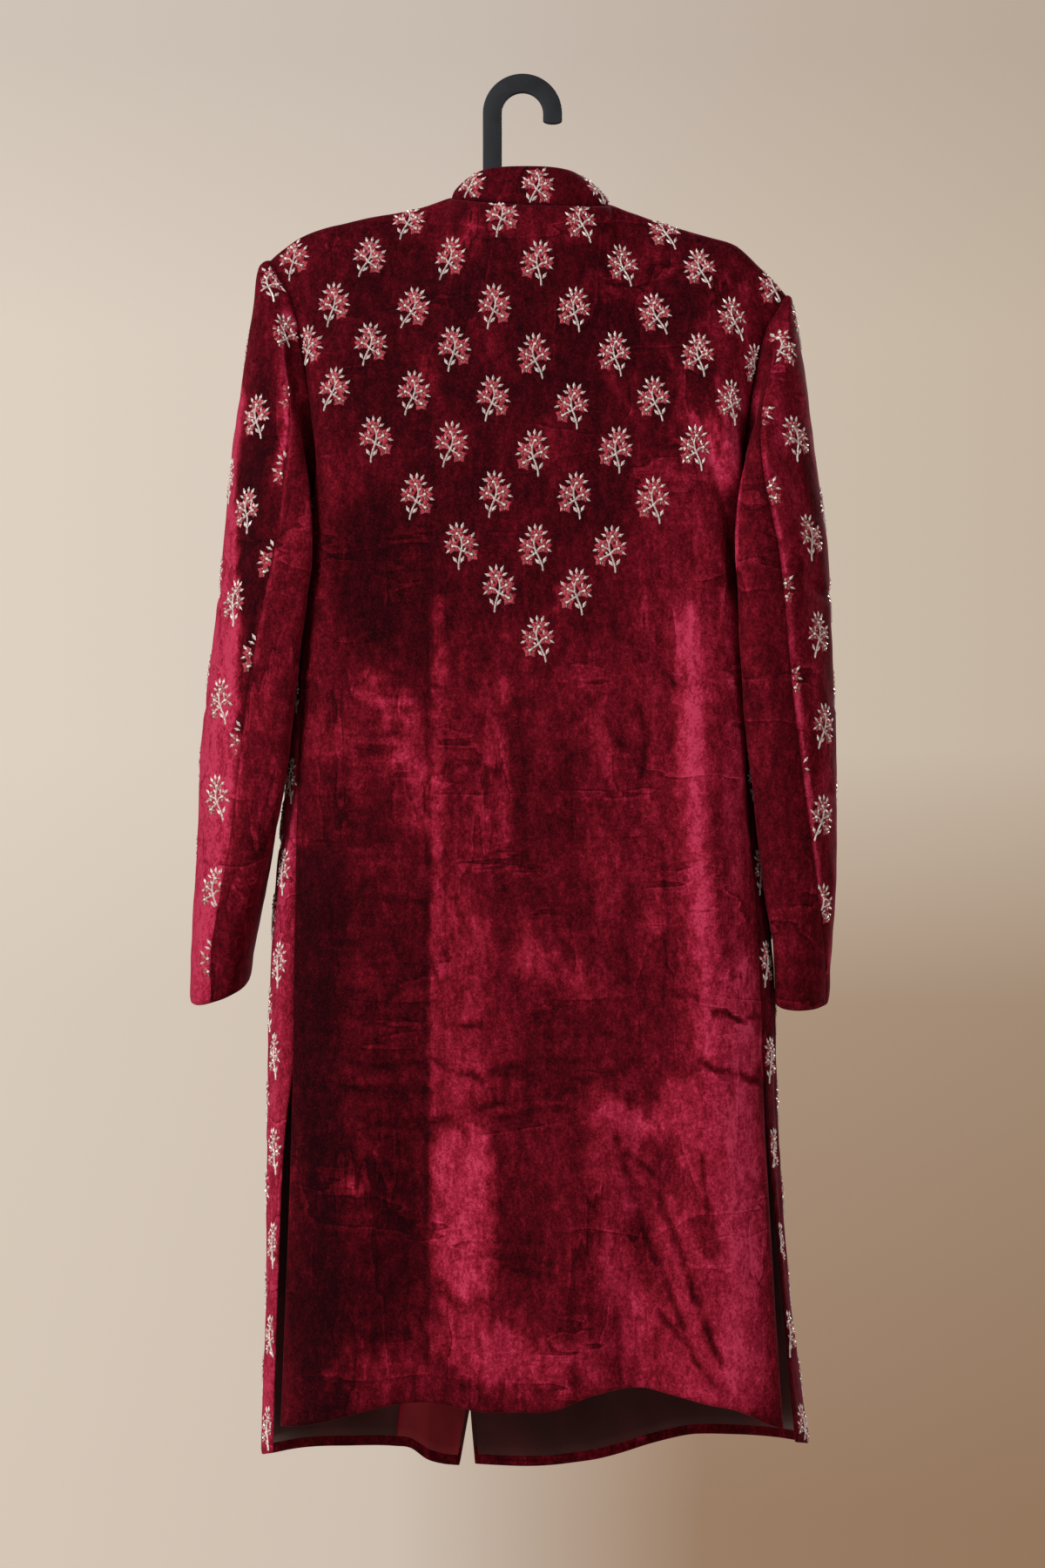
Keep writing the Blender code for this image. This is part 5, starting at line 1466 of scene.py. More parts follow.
# Patches of the back's nap with painted light: broad light columns are the velvet's sheen
# painted as tone, thin dark strokes along the creases are painted shade, light strokes along
# folds are painted highlights, and light patches at the sides offset the sleeves' shadow.
BACK_NAP_AND_LIGHT = [
    Patch(0.24, 62, ((130, 175), (-130, 175)), 3),
    Patch(0.21, 60, ((110, 250), (-110, 250)), 3),
    Patch(0.24, 60, ((70, 340), (-70, 340)), 3),
    Patch(0.28, 50, ((40, 420), (-40, 420))),
    Patch(0.12, 36, ((125, 385), (122, 462)), 3),
    Patch(0.24, 18, ((88, 400), (84, 490))),
    Patch(0.48, 10, ((70, 134), (10, 120), (-70, 130))),
    Patch(0.52, 10, ((-85, 146), (-125, 154))),
    Patch(0.44, 6, ((84, 236), (64, 290), (50, 306))),
    Patch(0.38, 8, ((30, 205), (18, 245))),
    Patch(0.38, 13, ((150, 330), (122, 326))),
    Patch(0.42, 9, ((-55, 172), (-100, 182))),
    Patch(0.46, 7, ((-72, 250), (-100, 300))),
    Patch(0.42, 12, ((-20, 290), (-28, 330))),
    Patch(0.48, 7, ((-120, 225), (-136, 262), (-130, 290))),
    Patch(0.66, 8, ((-186, 165), (-190, 230), (-188, 275))),
    Patch(0.52, 12, ((-158, 205), (-176, 250))),
    Patch(0.56, 18, ((-122, 330), (-150, 400))),
    Patch(0.82, 12, ((-150, 290), (-172, 342))),
    Patch(0.86, 8, ((-172, 262), (-180, 330)), 3),
    Patch(0.48, 26, ((-112, 350), (-110, 430))),
    Patch(0.54, 14, ((-100, 460), (-104, 560), (-112, 690))),
    Patch(0.62, 18, ((-134, 430), (-142, 520), (-146, 620), (-154, 800))),
    Patch(0.94, 12, ((-138, 462), (-144, 540), (-147, 640), (-151, 740))),
    Patch(0.86, 10, ((-153, 745), (-160, 900))),
    Patch(0.72, 14, ((-176, 440), (-181, 560), (-186, 740))),
    Patch(0.56, 14, ((-118, 600), (-122, 740))),
    Patch(0.56, 8, ((-22, 452), (-38, 432))),
    Patch(0.48, 24, ((-10, 510), (-70, 505))),
    Patch(0.66, 11, ((-62, 535), (-76, 588))),
    Patch(0.34, 18, ((-22, 640), (-32, 700))),
    Patch(0.56, 14, ((-70, 640), (-76, 700))),
    Patch(0.30, 8, ((3, 530), (2, 655)), 3),
    Patch(0.70, 3.2, ((16, 505), (15, 645))),
    Patch(0.60, 9, ((28, 540), (26, 620))),
    Patch(0.40, 20, ((160, 480), (150, 520))),
    Patch(0.56, 24, ((150, 560), (146, 602))),
    Patch(0.78, 13, ((132, 520), (100, 540))),
    Patch(0.80, 13, ((100, 566), (82, 600), (84, 625))),
    Patch(0.50, 16, ((50, 520), (46, 700))),
    Patch(0.30, 22, ((170, 610), (120, 640))),
    Patch(0.13, 27, ((171, 668), (169, 1120)), 3),
    Patch(0.29, 28, ((109, 690), (108, 880)), 6),
    Patch(0.18, 28, ((112, 930), (112, 1045)), 5),
    Patch(0.08, 26, ((176, 1010), (172, 1060))),
    Patch(0.46, 14, ((152, 1086), (104, 1078))),
    Patch(0.64, 24, ((50, 715), (48, 850)), 4),
    Patch(0.66, 5.5, ((71, 440), (71, 640), (74, 790), (74, 880)), 3),
    Patch(0.66, 15, ((-4, 740), (-50, 762))),
    Patch(0.34, 17, ((-22, 800), (-30, 850))),
    Patch(0.62, 22, ((48, 870), (48, 880)), 4),
    Patch(0.82, 27, ((51, 908), (49, 1002)), 8),
    Patch(0.70, 30, ((52, 1062), (6, 1078)), 4),
    Patch(0.64, 30, ((-84, 906), (-88, 1010)), 3),
    Patch(0.38, 25, ((-6, 908), (-10, 1000)), 5),
    Patch(0.40, 11, ((-44, 900), (-48, 1040))),
    Patch(0.74, 46, ((-156, 880), (-160, 1100)), 5),
    Patch(0.74, 24, ((-92, 1000), (-90, 1100)), 3),
    Patch(0.84, 17, ((-70, 868), (-102, 886))),
    Patch(0.62, 22, ((-40, 1085), (-84, 1092))),
    Patch(0.86, 20, ((-184, 760), (-188, 1090)), 3),
    Patch(0.46, 10, ((-118, 905), (-128, 940))),
    Patch(0.48, 9, ((-150, 960), (-158, 985))),
    Patch(0.44, 9, ((-92, 965), (-104, 1010))),
    Patch(0.22, 3.4, ((-80, 896), (-94, 935), (-104, 975), (-124, 1025), (-134, 1050))),
    Patch(0.24, 3, ((-112, 938), (-128, 975), (-146, 1030), (-168, 1084))),
    Patch(0.26, 3, ((-118, 1044), (-140, 1070), (-160, 1100))),
    Patch(0.30, 2.6, ((-150, 905), (-153, 935), (-162, 985))),
    Patch(0.30, 2.6, ((-86, 905), (-112, 925))),
    Patch(0.36, 3, ((-42, 985), (-44, 1105))),
    Patch(0.40, 3, ((-80, 1040), (-82, 1100))),
    Patch(0.34, 2.6, ((104, 512), (86, 508), (66, 516))),
    Patch(0.20, 2.2, ((79.5, 380), (79, 640))),
    Patch(0.12, 2.2, ((79, 640), (82, 790), (81, 1100))),
    Patch(0.22, 2.6, ((62, 802), (34, 798))),
    Patch(0.08, 2.8, ((183, 850), (140, 852), (100, 856), (80, 855))),
    Patch(0.10, 2.6, ((138, 878), (108, 884), (82, 883))),
    Patch(0.42, 2.6, ((150, 838), (116, 846), (84, 842))),
    Patch(0.10, 2.6, ((148, 830), (112, 834), (82, 832))),
    Patch(0.22, 2.6, ((80, 824), (58, 838), (36, 843))),
    Patch(0.18, 2.6, ((14, 834), (-20, 828), (-46, 830))),
    Patch(0.20, 2.6, ((-50, 847), (-78, 838), (-104, 824))),
    Patch(0.26, 2.6, ((-127, 772), (-147, 776))),
    Patch(0.60, 2.8, ((30, 870), (-10, 864), (-46, 860))),
    Patch(0.20, 2.8, ((36, 868), (-4, 862), (-42, 852))),
    Patch(0.26, 2.6, ((24, 877), (-30, 868))),
    Patch(0.24, 2.6, ((38, 842), (-20, 838), (-52, 846))),
    Patch(0.20, 2.4, ((18, 994), (-26, 999))),
    Patch(0.20, 2.4, ((14, 1003), (-24, 1008))),
    Patch(0.22, 2.8, ((101, 884), (58, 878))),
    Patch(0.26, 2.6, ((-160, 786), (-184, 795), (-204, 792))),
    Patch(0.30, 2.8, ((-150, 832), (-176, 838), (-200, 848))),
    Patch(0.30, 2.8, ((-74, 462), (-100, 488), (-128, 512))),
    Patch(0.32, 2.8, ((-54, 522), (-80, 556), (-108, 588))),
    Patch(0.28, 2.6, ((-96, 520), (-104, 560), (-98, 600))),
    Patch(0.30, 2.4, ((-36, 560), (-44, 620), (-40, 680))),
    Patch(0.30, 2.4, ((-84, 640), (-92, 700), (-88, 760))),
    Patch(0.30, 2.4, ((-118, 650), (-122, 720), (-118, 780))),
    Patch(0.30, 2.4, ((-10, 815), (-60, 802), (-96, 812))),
]

# Where fine streaks show on the back; here the tone says how strong they are
BACK_STREAKS = [
    Patch(0.10, 46, ((136, 560), (132, 1060)), 4),
    Patch(0.12, 34, ((120, 530), (118, 600))),
    Patch(0.04, 60, ((0, 700), (-60, 900)), 2),
]

FRONT_CREASES = [
    Line(-0.0022, 0.0050, ((0.070, 0.560), (0.074, 0.760), (0.080, 1.060))),
    Line(-0.0020, 0.0050, ((-0.076, 0.500), (-0.080, 0.700), (-0.088, 1.080))),
    Line(-0.0016, 0.0034, ((0.020, 0.640), (0.060, 0.648), (0.095, 0.640))),
    Line(-0.0016, 0.0034, ((-0.120, 0.720), (-0.080, 0.728), (-0.050, 0.722))),
    Line(-0.0016, 0.0034, ((0.060, 0.905), (0.110, 0.912), (0.140, 0.900))),
    Line(-0.0016, 0.0044, ((-0.120, 0.960), (-0.150, 1.020), (-0.170, 1.090))),
    Line(-0.0024, 0.0060, ((0.150, 0.260), (0.120, 0.300), (0.085, 0.320))),
    Line(-0.0024, 0.0060, ((-0.155, 0.280), (-0.125, 0.310), (-0.090, 0.330))),
]
SLEEVE_CREASES = [
    Line(-0.0016, 0.0050, ((0.016, 0.360), (0.044, 0.372), (0.075, 0.366))),
    Line(-0.0018, 0.0050, ((0.024, 0.420), (0.060, 0.436), (0.100, 0.428))),
    Line(-0.0014, 0.0046, ((-0.070, 0.450), (-0.036, 0.462), (-0.012, 0.456))),
    Line(-0.0014, 0.0046, ((0.050, 0.520), (0.085, 0.534), (0.120, 0.528))),
    Line(-0.0014, 0.0050, ((-0.090, 0.540), (-0.050, 0.556))),
    Line(-0.0012, 0.0044, ((0.016, 0.600), (0.050, 0.606))),
    Line(0.0020, 0.0120, ((0.020, 0.300), (0.018, 0.480))),
]
# Patches of the upper sleeves' nap with painted light: a painted highlight down the lit outer
# side and along the folds and the seam, over darker bands.
SLEEVE_NAP_AND_LIGHT = {
    LEFT: [
        Patch(0.15, 22, ((30, 236), (36, 330), (26, 440)), 3),
        Patch(0.96, 40, ((106, 280), (101, 330), (92, 364), (82, 400), (74, 437),
                         (58, 466), (52, 500), (48, 527), (42, 560), (36, 590),
                         (32, 760)), 10),
        Patch(0.66, 15, ((32, 180), (22, 230), (12, 276))),
        Patch(1.00, 6.5, ((27, 182), (20, 229), (9, 256), (4, 286))),
        Patch(0.80, 5.5, ((6, 300), (5, 345))),
        Patch(0.50, 10, ((44, 172), (52, 215))),
        Patch(0.22, 26, ((140, 300), (130, 700))),
        Patch(0.12, 3.0, ((5, 350), (6, 480))),
    ],
    RIGHT: [
        Patch(0.52, 44, ((34, 220), (34, 720)), 4),
        Patch(0.64, 8, ((26, 240), (30, 460), (26, 620))),
        Patch(0.28, 9, ((58, 300), (60, 560))),
        Patch(1.00, 3.0, ((3, 225), (3, 420), (3, 560), (3, 700))),
        Patch(0.58, 30, ((110, 300), (110, 700))),
    ],
}
# Patches of the under sleeves' nap with painted light: painted highlights along the seam and
# the inner edge, lighter beside the body to offset the shade there.
UNDER_NAP_AND_LIGHT = {
    LEFT: [
        Patch(0.44, 26, ((24, 200), (26, 740)), 4),
        Patch(0.62, 5, ((40, 230), (42, 400))),
        Patch(0.54, 3, ((46, 420), (48, 600))),
        Patch(0.74, 3.0, ((2, 240), (2, 700))),
    ],
    RIGHT: [
        Patch(0.44, 40, ((26, 240), (30, 760)), 4),
        Patch(0.86, 9, ((44, 225), (50, 300), (54, 400)), 3),
    ],
}
UNDER_CREASES = [
    Line(-0.0012, 0.0050, ((0.010, 0.430), (0.030, 0.440), (0.050, 0.436))),
    Line(-0.0012, 0.0050, ((0.008, 0.560), (0.030, 0.568))),
]
# Patches of the fronts' nap with painted light: the velvet's sheen painted as lighter and
# darker columns.
FRONT_NAP_AND_LIGHT = {
    LEFT: [
        Patch(0.28, 60, ((-120, 180), (-90, 320)), 3),
        Patch(0.78, 22, ((-130, 470), (-140, 700), (-150, 900)), 3),
        Patch(0.22, 30, ((-60, 520), (-50, 900)), 3),
        Patch(0.62, 24, ((-200, 560), (-195, 720)), 3),
        Patch(0.84, 26, ((-110, 960), (-100, 1100)), 4),
        Patch(0.30, 26, ((-180, 950), (-185, 1120)), 3),
        Patch(0.86, 34, ((86, 560), (86, 1150)), 4),
    ],
    RIGHT: [
        Patch(0.26, 60, ((-120, 180), (-90, 320)), 3),
        Patch(0.72, 18, ((-80, 430), (-84, 700), (-96, 900)), 3),
        Patch(0.24, 34, ((-150, 500), (-160, 860)), 3),
        Patch(0.66, 30, ((-130, 960), (-140, 1100)), 3),
        Patch(0.34, 34, ((86, 600), (84, 1150)), 4),
    ],
}

# Sprigs whose places show in the photo, as (x, down)
BACK_SPOTS = [
    (97, 111), (17, 111), (-49, 116), (-121, 120),
    (196, 143), (130, 145), (61, 148), (-12, 153), (-84, 153), (-151, 154), (-215, 167),
    (160, 186), (92, 191), (23, 191), (-43, 193), (-112, 196), (-179, 198),
    (182, 223), (128, 222), (57, 227), (-9, 234), (-77, 231), (-148, 231), (-198, 238),
    (159, 261), (91, 265), (24, 270), (-41, 276), (-110, 270), (-176, 271),
    (123, 304), (59, 309), (-8, 316), (-78, 313), (-145, 311),
    (88, 353), (22, 351), (-43, 352), (-109, 356),
    (51, 394), (-10, 396), (-73, 397), (19, 430), (-44, 433), (-12, 473),
]
SLEEVE_SPOTS = {
    LEFT: [(219, 166), (203, 212), (227, 284), (235, 363), (246, 441), (258, 525),
           (261, 607), (264, 685), (187, 262), (197, 334), (209, 408), (223, 487),
           (234, 559), (262, 745)],
    RIGHT: [(-221, 223), (-234, 301), (-246, 385), (-253, 468), (-258, 546), (-256, 624),
            (-257, 700), (-195, 279), (-203, 347), (-214, 428), (-221, 505), (-227, 581)],
}
SPOT_CLEARANCE = 0.046
SLEEVE_SPREAD = 1.18

# Half-drop columns of sprigs, where the photo doesn't show them one by one
Lattice = namedtuple("Lattice", "across columns down last_down mirror")
FRONT_LATTICE = {
    LEFT: Lattice(-0.246, 11, 0.118, 1.18, -1),
    RIGHT: Lattice(-0.250, 11, 0.118, 1.18, 1),
}
SLEEVE_LATTICE = {
    LEFT: Lattice(0.085, 6, 0.180, 0.78, -1),
    RIGHT: Lattice(0.085, 6, 0.200, 0.78, 1),
}
COLLAR_SPOTS = (-193, -132, -71, -10, 51, 112, 173)
COLLAR_STEP = 0.0028

# How much further than the solids the sleeves' rear sides lean in over the back, as
# (down, lean), and the distance behind the middle where that starts and its reach
LEAN_MORE = {
    LEFT: ((0.24, 0.0), (0.32, 0.002), (0.40, 0.002), (0.48, 0.0)),
    RIGHT: ((0.20, 0.0), (0.26, 0.007), (0.34, 0.008), (0.44, 0.005), (0.60, 0.002),
            (0.70, 0.0)),
}
LEAN_START = 0.02
LEAN_REACH = 0.05
TUCK_UNDER = 0.0006
TUCK_IN = 0.0010

# Lining, turned-up hem and collar
LINING_CLEAR = 0.0006
LINING_HANGS = 0.0024
LINING_SEWN = 0.012
HEM_ROWS = 4
COLLAR_SHARPEST = 0.999

# Ripples and nap, from irregular fields: a share, and the size (across, down) of patches
Cloud = namedtuple("Cloud", "share size")
RIPPLE = 0.00045
RIPPLES = [
    Cloud(1.0, (0.055, 0.110)),
    Cloud(0.5, (0.022, 0.036)),
]
RIPPLE_FADE = 0.012
WARP_ACROSS = Cloud(0.0016, (0.012, 0.030))
WARP_DOWN = Cloud(0.0070, (0.018, 0.036))
CRUSHED_SPOTS = [
    Cloud(0.040, (0.034, 0.075)),
    Cloud(0.040, (0.014, 0.034)),
    Cloud(0.032, (0.007, 0.019)),
]
CRUSH_EDGE = 1.5
CRUSH_HOLD = 0.55
CRUSH_HOLD_RISE = 0.5
THIN_STROKE = 5.0
STROKE_HOLD = 0.80
STROKE_BREAKS = Cloud(0.45, (0.030, 0.040))
STREAK_BANDS = Cloud(1.6, (0.120, 0.011))
STREAK_HOLD = 0.55
STREAK_BREAKS = Cloud(0.45, (0.050, 0.090))
EDGE_DARKER = 0.08
EDGE_WIDTH = 0.004
NAP_BASE = {"back": 0.42, "front": 0.44, "upper": 0.42, "under": 0.40, "collar": 0.36}


def rim_distance(grid, cells):
    """Distance from each point of a grid to the nearest edge of its cells."""
    around = np.pad(cells, 1).astype(int)
    meeting = around[:-1, :-1] + around[:-1, 1:] + around[1:, :-1] + around[1:, 1:]
    rim = grid[(meeting > 0) & (meeting < 4)]
    tree = kdtree.KDTree(len(rim))
    for k, place in enumerate(rim.tolist()):
        tree.insert(place, k)
    tree.balance()
    return np.array([tree.find(place)[2] for place in grid.reshape(-1, 3).tolist()]).reshape(
        grid.shape[:2])


class Panel:
    """A cloth piece's fine surface: points, wall directions, cells and places across."""

    def __init__(self, grid, normals, cells, step, across=None):
        rows, columns = even_stations(grid, 0, step), even_stations(grid, 1, step)
        self.columns = columns
        self.grid = spread(grid, rows, columns)
        self.normals = unit(spread(normals, rows, columns))
        self.cells = finer_cells(cells, rows, columns)
        self.across = self.grid[..., 0] if across is None else across(self)
        self.down = -self.grid[..., 2]
        self.edge = rim_distance(self.grid, self.cells)

    def clouds(self, size, seed):
        """An irregular field over the cloth, with patches of a size (across, down)."""
        return cloudy(self.across, self.down, *size, seed)

    def shape(self, creases, seed, ripple=RIPPLE):
        """Raise creases and ripples, and roll the cloth down at its seams."""
        waves = sum(wave.share * self.clouds(wave.size, seed + k)
                    for k, wave in enumerate(RIPPLES))
        height = line_field(creases, self.across, self.down) + ripple * waves
        height *= smooth(self.edge / RIPPLE_FADE)
        height -= SEAM_ROLL * np.exp(-self.edge / SEAM_ROLL_WIDTH)
        self.grid = self.grid + self.normals * height[..., None]

    def tone(self, base, patches, seed, streaks=()):
        """Lie of the nap with painted sheen, light and shade: listed patches with ragged
        edges, then streaks and crushed spots, and a little darker near the edges.
        """
        warp_across = WARP_ACROSS.share * self.clouds(WARP_ACROSS.size, seed + 2)
        warp_down = WARP_DOWN.share * self.clouds(WARP_DOWN.size, seed + 3)
        tone = np.full(self.across.shape, float(base))
        broad = [patch for patch in patches if patch.width > THIN_STROKE]
        thin = [patch for patch in patches if patch.width <= THIN_STROKE]
        tone = painted(tone, broad, self.across + warp_across, self.down + warp_down)
        breaks = STROKE_BREAKS.share * self.clouds(STROKE_BREAKS.size, seed + 7)
        tone = painted(tone, thin, self.across + warp_across / 2, self.down + warp_down / 4,
                       np.clip(STROKE_HOLD + breaks, 0, 1))
        for k, crushed in enumerate(CRUSHED_SPOTS):
            spots = np.tanh(CRUSH_EDGE * self.clouds(crushed.size, seed + 4 + k))
            tone += crushed.share * spots * (CRUSH_HOLD + CRUSH_HOLD_RISE * tone)
        if streaks:
            bands = np.tanh(STREAK_BANDS.share * self.clouds(STREAK_BANDS.size, seed + 8))
            breaks = STREAK_BREAKS.share * self.clouds(STREAK_BREAKS.size, seed + 9)
            depth = painted(np.zeros(tone.shape), streaks, self.across, self.down)
            tone += depth * bands * (STREAK_HOLD + breaks)
        return tone - EDGE_DARKER * np.exp(-self.edge / EDGE_WIDTH)


def spread(values, rows, columns):
    """Refine an array along its rows and its columns."""
    return refine(refine(values, rows).swapaxes(0, 1), columns).swapaxes(0, 1)


def fill_missing(grid, normals):
    """Stand-in points for a front's columns above the armhole's foot, for the curves."""
    foot = len(YOKE) - 1
    corner = grid.shape[1] - 1 - SIDE_COLUMNS
    grid, normals = grid.copy(), normals.copy()
    for row in range(foot):
        shift = grid[row, corner] - grid[foot, corner]
        grid[row, corner + 1:] = grid[foot, corner + 1:] + shift
        normals[row, corner + 1:] = normals[foot, corner + 1:]
    return grid, normals


# ---------------------------------------------------------------- building the pieces


def make_body(materials):
    """Back and fronts; returns the back's coarse grid and normals and the fronts' coarse
    grids, cells and normals.
    """
    back = back_grid()
    back_normals = grid_normals(back, all_cells(back), from_axis)
    fronts = {}
    for side in (LEFT, RIGHT):
        grid, cells = front_grid(side)
        fronts[side] = [grid, cells, grid_normals(grid, cells, from_axis)]
    match_seams(back_normals, fronts)

    panel = Panel(back, back_normals, all_cells(back), BACK_STEP)
    panel.shape(BACK_CREASES, 11)
    nap_and_painted_light = panel.tone(NAP_BASE["back"], BACK_NAP_AND_LIGHT, 11, BACK_STREAKS)
    piece = shell("cloth_back", panel, WALL, nap_and_painted_light=nap_and_painted_light)
    dress(piece, "back", "velvet", materials["velvet"], materials["lining"])
    surface = Surface(panel)
    spots = seen_spots(surface, BACK_SPOTS, lambda x: 1 if x > 0 else -1, 12)
    sewn = embroider("back", surface, spots, materials["thread"])

    for side, (grid, cells, normals) in fronts.items():
        name = "front_" + SIDE_NAME[side]
        full, full_normals = fill_missing(grid, normals)
        corner = grid.shape[1] - 1 - SIDE_COLUMNS
        panel = Panel(full, full_normals, cells, PANEL_STEP, across=lambda p: way_across(
            p.grid, int(np.argmin(np.abs(p.columns - corner)))))
        panel.shape(FRONT_CREASES, 20 + side)
        nap_and_painted_light = panel.tone(NAP_BASE["front"], FRONT_NAP_AND_LIGHT[side], 30 + side)
        piece = shell("cloth_" + name, panel, WALL, nap_and_painted_light=nap_and_painted_light, turned_up=HEM_ROWS)
        dress(piece, name, "velvet", materials["velvet"], materials["lining"])
        surface = Surface(panel)
        spots = clear_of([], lattice_spots(surface, FRONT_LATTICE[side], 20 + side))
        sewn = embroider(name, surface, spots, materials["thread"])
    return back, back_normals, fronts


def make_sleeves(back, back_normals, fronts, materials):
    """Upper and under pieces of each sleeve."""
    for side in (LEFT, RIGHT):
        front, _, front_normals = fronts[side]
        loop = armhole_loop(side, back, back_normals, front, front_normals)
        grid = sleeve_grid(side, loop)
        normals = closed_normals(side, grid)
        normals[0] = armhole_normals(loop[2], grid, normals[0])
        down, lean = zip(*LEAN_MORE[side])
        grid[1:, :, 0] -= (side * np.interp(-grid[1:, :, 2], down, lean)
                           * smooth((grid[1:, :, 1] - LEAN_START) / LEAN_REACH))
        grid[0] -= TUCK_UNDER * loop[2] + TUCK_IN * unit(grid[1] - grid[0])
        hind = hind_column(side)
        for kind, columns, strokes in (("upper", slice(0, hind + 1), SLEEVE_NAP_AND_LIGHT[side]),
                                       ("under", slice(hind, None), UNDER_NAP_AND_LIGHT[side])):
            name = "sleeve_" + kind + "_" + SIDE_NAME[side]
            outer = inset(grid[:, columns], SEAM_GAP / 2, SEAM_GAP / 2)
            seam_column = -1 if kind == "upper" else 0
            panel = Panel(outer, normals[:, columns], all_cells(outer), SLEEVE_STEP,
                          across=lambda p: way_across(p.grid, seam_column))
            panel.shape(SLEEVE_CREASES if kind == "upper" else UNDER_CREASES, 40 + side)
            nap_and_painted_light = panel.tone(NAP_BASE[kind], strokes, 50 + side)
            piece = shell("cloth_" + name, panel, WALL, nap_and_painted_light=nap_and_painted_light)
            dress(piece, name, "velvet", materials["velvet"], materials["lining"])
            sewn = []
            if kind == "upper":
                surface = Surface(panel)
                spots = seen_spots(surface, SLEEVE_SPOTS[side], lambda x: -side, 60 + side)
                spots = clear_of(spots, lattice_spots(surface, SLEEVE_LATTICE[side],
                                                      70 + side))
                sewn = embroider(name, surface, spots, materials["thread"], SLEEVE_SPREAD)


def make_collar(materials):
    """One band round the neck, with its rounded front corners."""
    turn = collar_columns()[None, :]
    full = np.linalg.norm(collar_point(turn, np.ones_like(turn)) - neck_point(turn), axis=-1)
    from_end = np.radians(turn[0, -1] - np.abs(turn)) * NECK_HALF
    short = np.clip(1 - from_end / COLLAR_CORNER, 0, 1)
    cut_off = COLLAR_CORNER * (1 - np.sqrt(1 - COLLAR_SHARPEST * short ** 2))
    share = np.linspace(0, 1, COLLAR_ROWS + 1)[:, None]
    height = mix(SEAM_GAP / full, 1 - cut_off / full, share)
    grid = collar_point(np.broadcast_to(turn, height.shape), height)
    normals = grid_normals(grid, all_cells(grid), from_axis)
    panel = Panel(grid, normals, all_cells(grid), COLLAR_STEP,
                  across=lambda p: way_across(p.grid, 0) - way_across(p.grid, 0)[:, -1:] / 2)
    panel.shape([], 71, ripple=RIPPLE / 2)
    nap_and_painted_light = panel.tone(NAP_BASE["collar"], (), 71)
    piece = shell("cloth_collar", panel, COLLAR_WALL, nap_and_painted_light=nap_and_painted_light)
    dress(piece, "collar", "velvet", materials["velvet"], materials["velvet"])
    surface = Surface(panel)
    spots = band_spots(surface, COLLAR_SPOTS, 72)
    sewn = embroider("collar", surface, spots, materials["thread"])


def make_lining(fronts, materials):
    """Lining and facing skins inside the fronts."""
    slit_row = len(YOKE) - 1 + WAIST_ROWS
    for side, (grid, _, normals) in fronts.items():
        lower, lower_normals = grid[slit_row:], normals[slit_row:]
        first = FACING_COLUMNS if side == LEFT else 0
        edge = SEAM_GAP / 2 if side == LEFT else LINING_EDGE
        skins = [("lining_" + SIDE_NAME[side], slice(first, None), edge, LINING_SLIT_EDGE,
                  "lining")]
        if side == LEFT:
            skins.append(("facing_left", slice(0, FACING_COLUMNS + 1), LINING_EDGE,
                          SEAM_GAP / 2, "facing"))
        for name, columns, start, end, slot in skins:
            skin = inset(lower[:, columns], start, end, LINING_HEM)
            panel = Panel(skin, lower_normals[:, columns], all_cells(skin), LINING_STEP)
            panel.shape([], 80 + side)
            if name.startswith("lining"):
                loose = LINING_HANGS * smooth(panel.edge / LINING_SEWN)
                panel.grid = panel.grid - panel.normals * (LINING_CLEAR + loose[..., None])
            piece = shell("cloth_" + name, panel, LINING_WALL, depth=WALL + SEAM_GAP)
            dress(piece, name, slot, materials[slot], materials[slot])


def revolve(outline, steps, matrix):
    """Vertices and faces of an outline of (radius, height) turned round its axis."""
    mesh = bmesh.new()
    ring = [mesh.verts.new((radius, 0, height)) for radius, height in outline]
    edges = [mesh.edges.new(pair) for pair in zip(ring, ring[1:])]
    bmesh.ops.spin(mesh, geom=ring + edges, axis=(0, 0, 1), cent=(0, 0, 0),
                   angle=math.tau, steps=steps, use_merge=True)
    bmesh.ops.remove_doubles(mesh, verts=mesh.verts, dist=MERGED)
    bmesh.ops.recalc_face_normals(mesh, faces=mesh.faces)
    bmesh.ops.transform(mesh, matrix=matrix, verts=mesh.verts)
    return mesh


def link_mesh(name, mesh):
    """A new object of a built mesh, smooth but for its sharp edges."""
    data = bpy.data.meshes.new(name)
    mesh.to_mesh(data)
    mesh.free()
    data.shade_smooth()
    data.set_sharp_from_angle(angle=math.radians(SHARP_DEGREES))
    return linked(name, data)


def oval(x, z, half_width, half_height, turns):
    """Points of an ellipse at the given degrees."""
    return [(x + half_width * math.cos(a), z + half_height * math.sin(a))
            for a in np.radians(turns)]


def button_outline():
    """Half section of a button's rim and dome, as (radius, height) points."""
    half = BUTTON_RIM / 2
    rim = oval(BUTTON_RADIUS - half, half, half, half, BUTTON_RIM_DEGREES)
    crown = oval(0, BUTTON_RIM, BUTTON_DOME_RADIUS * BUTTON_CROWN_SHARE,
                 BUTTON_DOME - BUTTON_RIM, BUTTON_DOME_DEGREES)
    return [(0.0, 0.0), (BUTTON_RADIUS * BUTTON_BACK_SHARE, 0.0)] + rim + crown


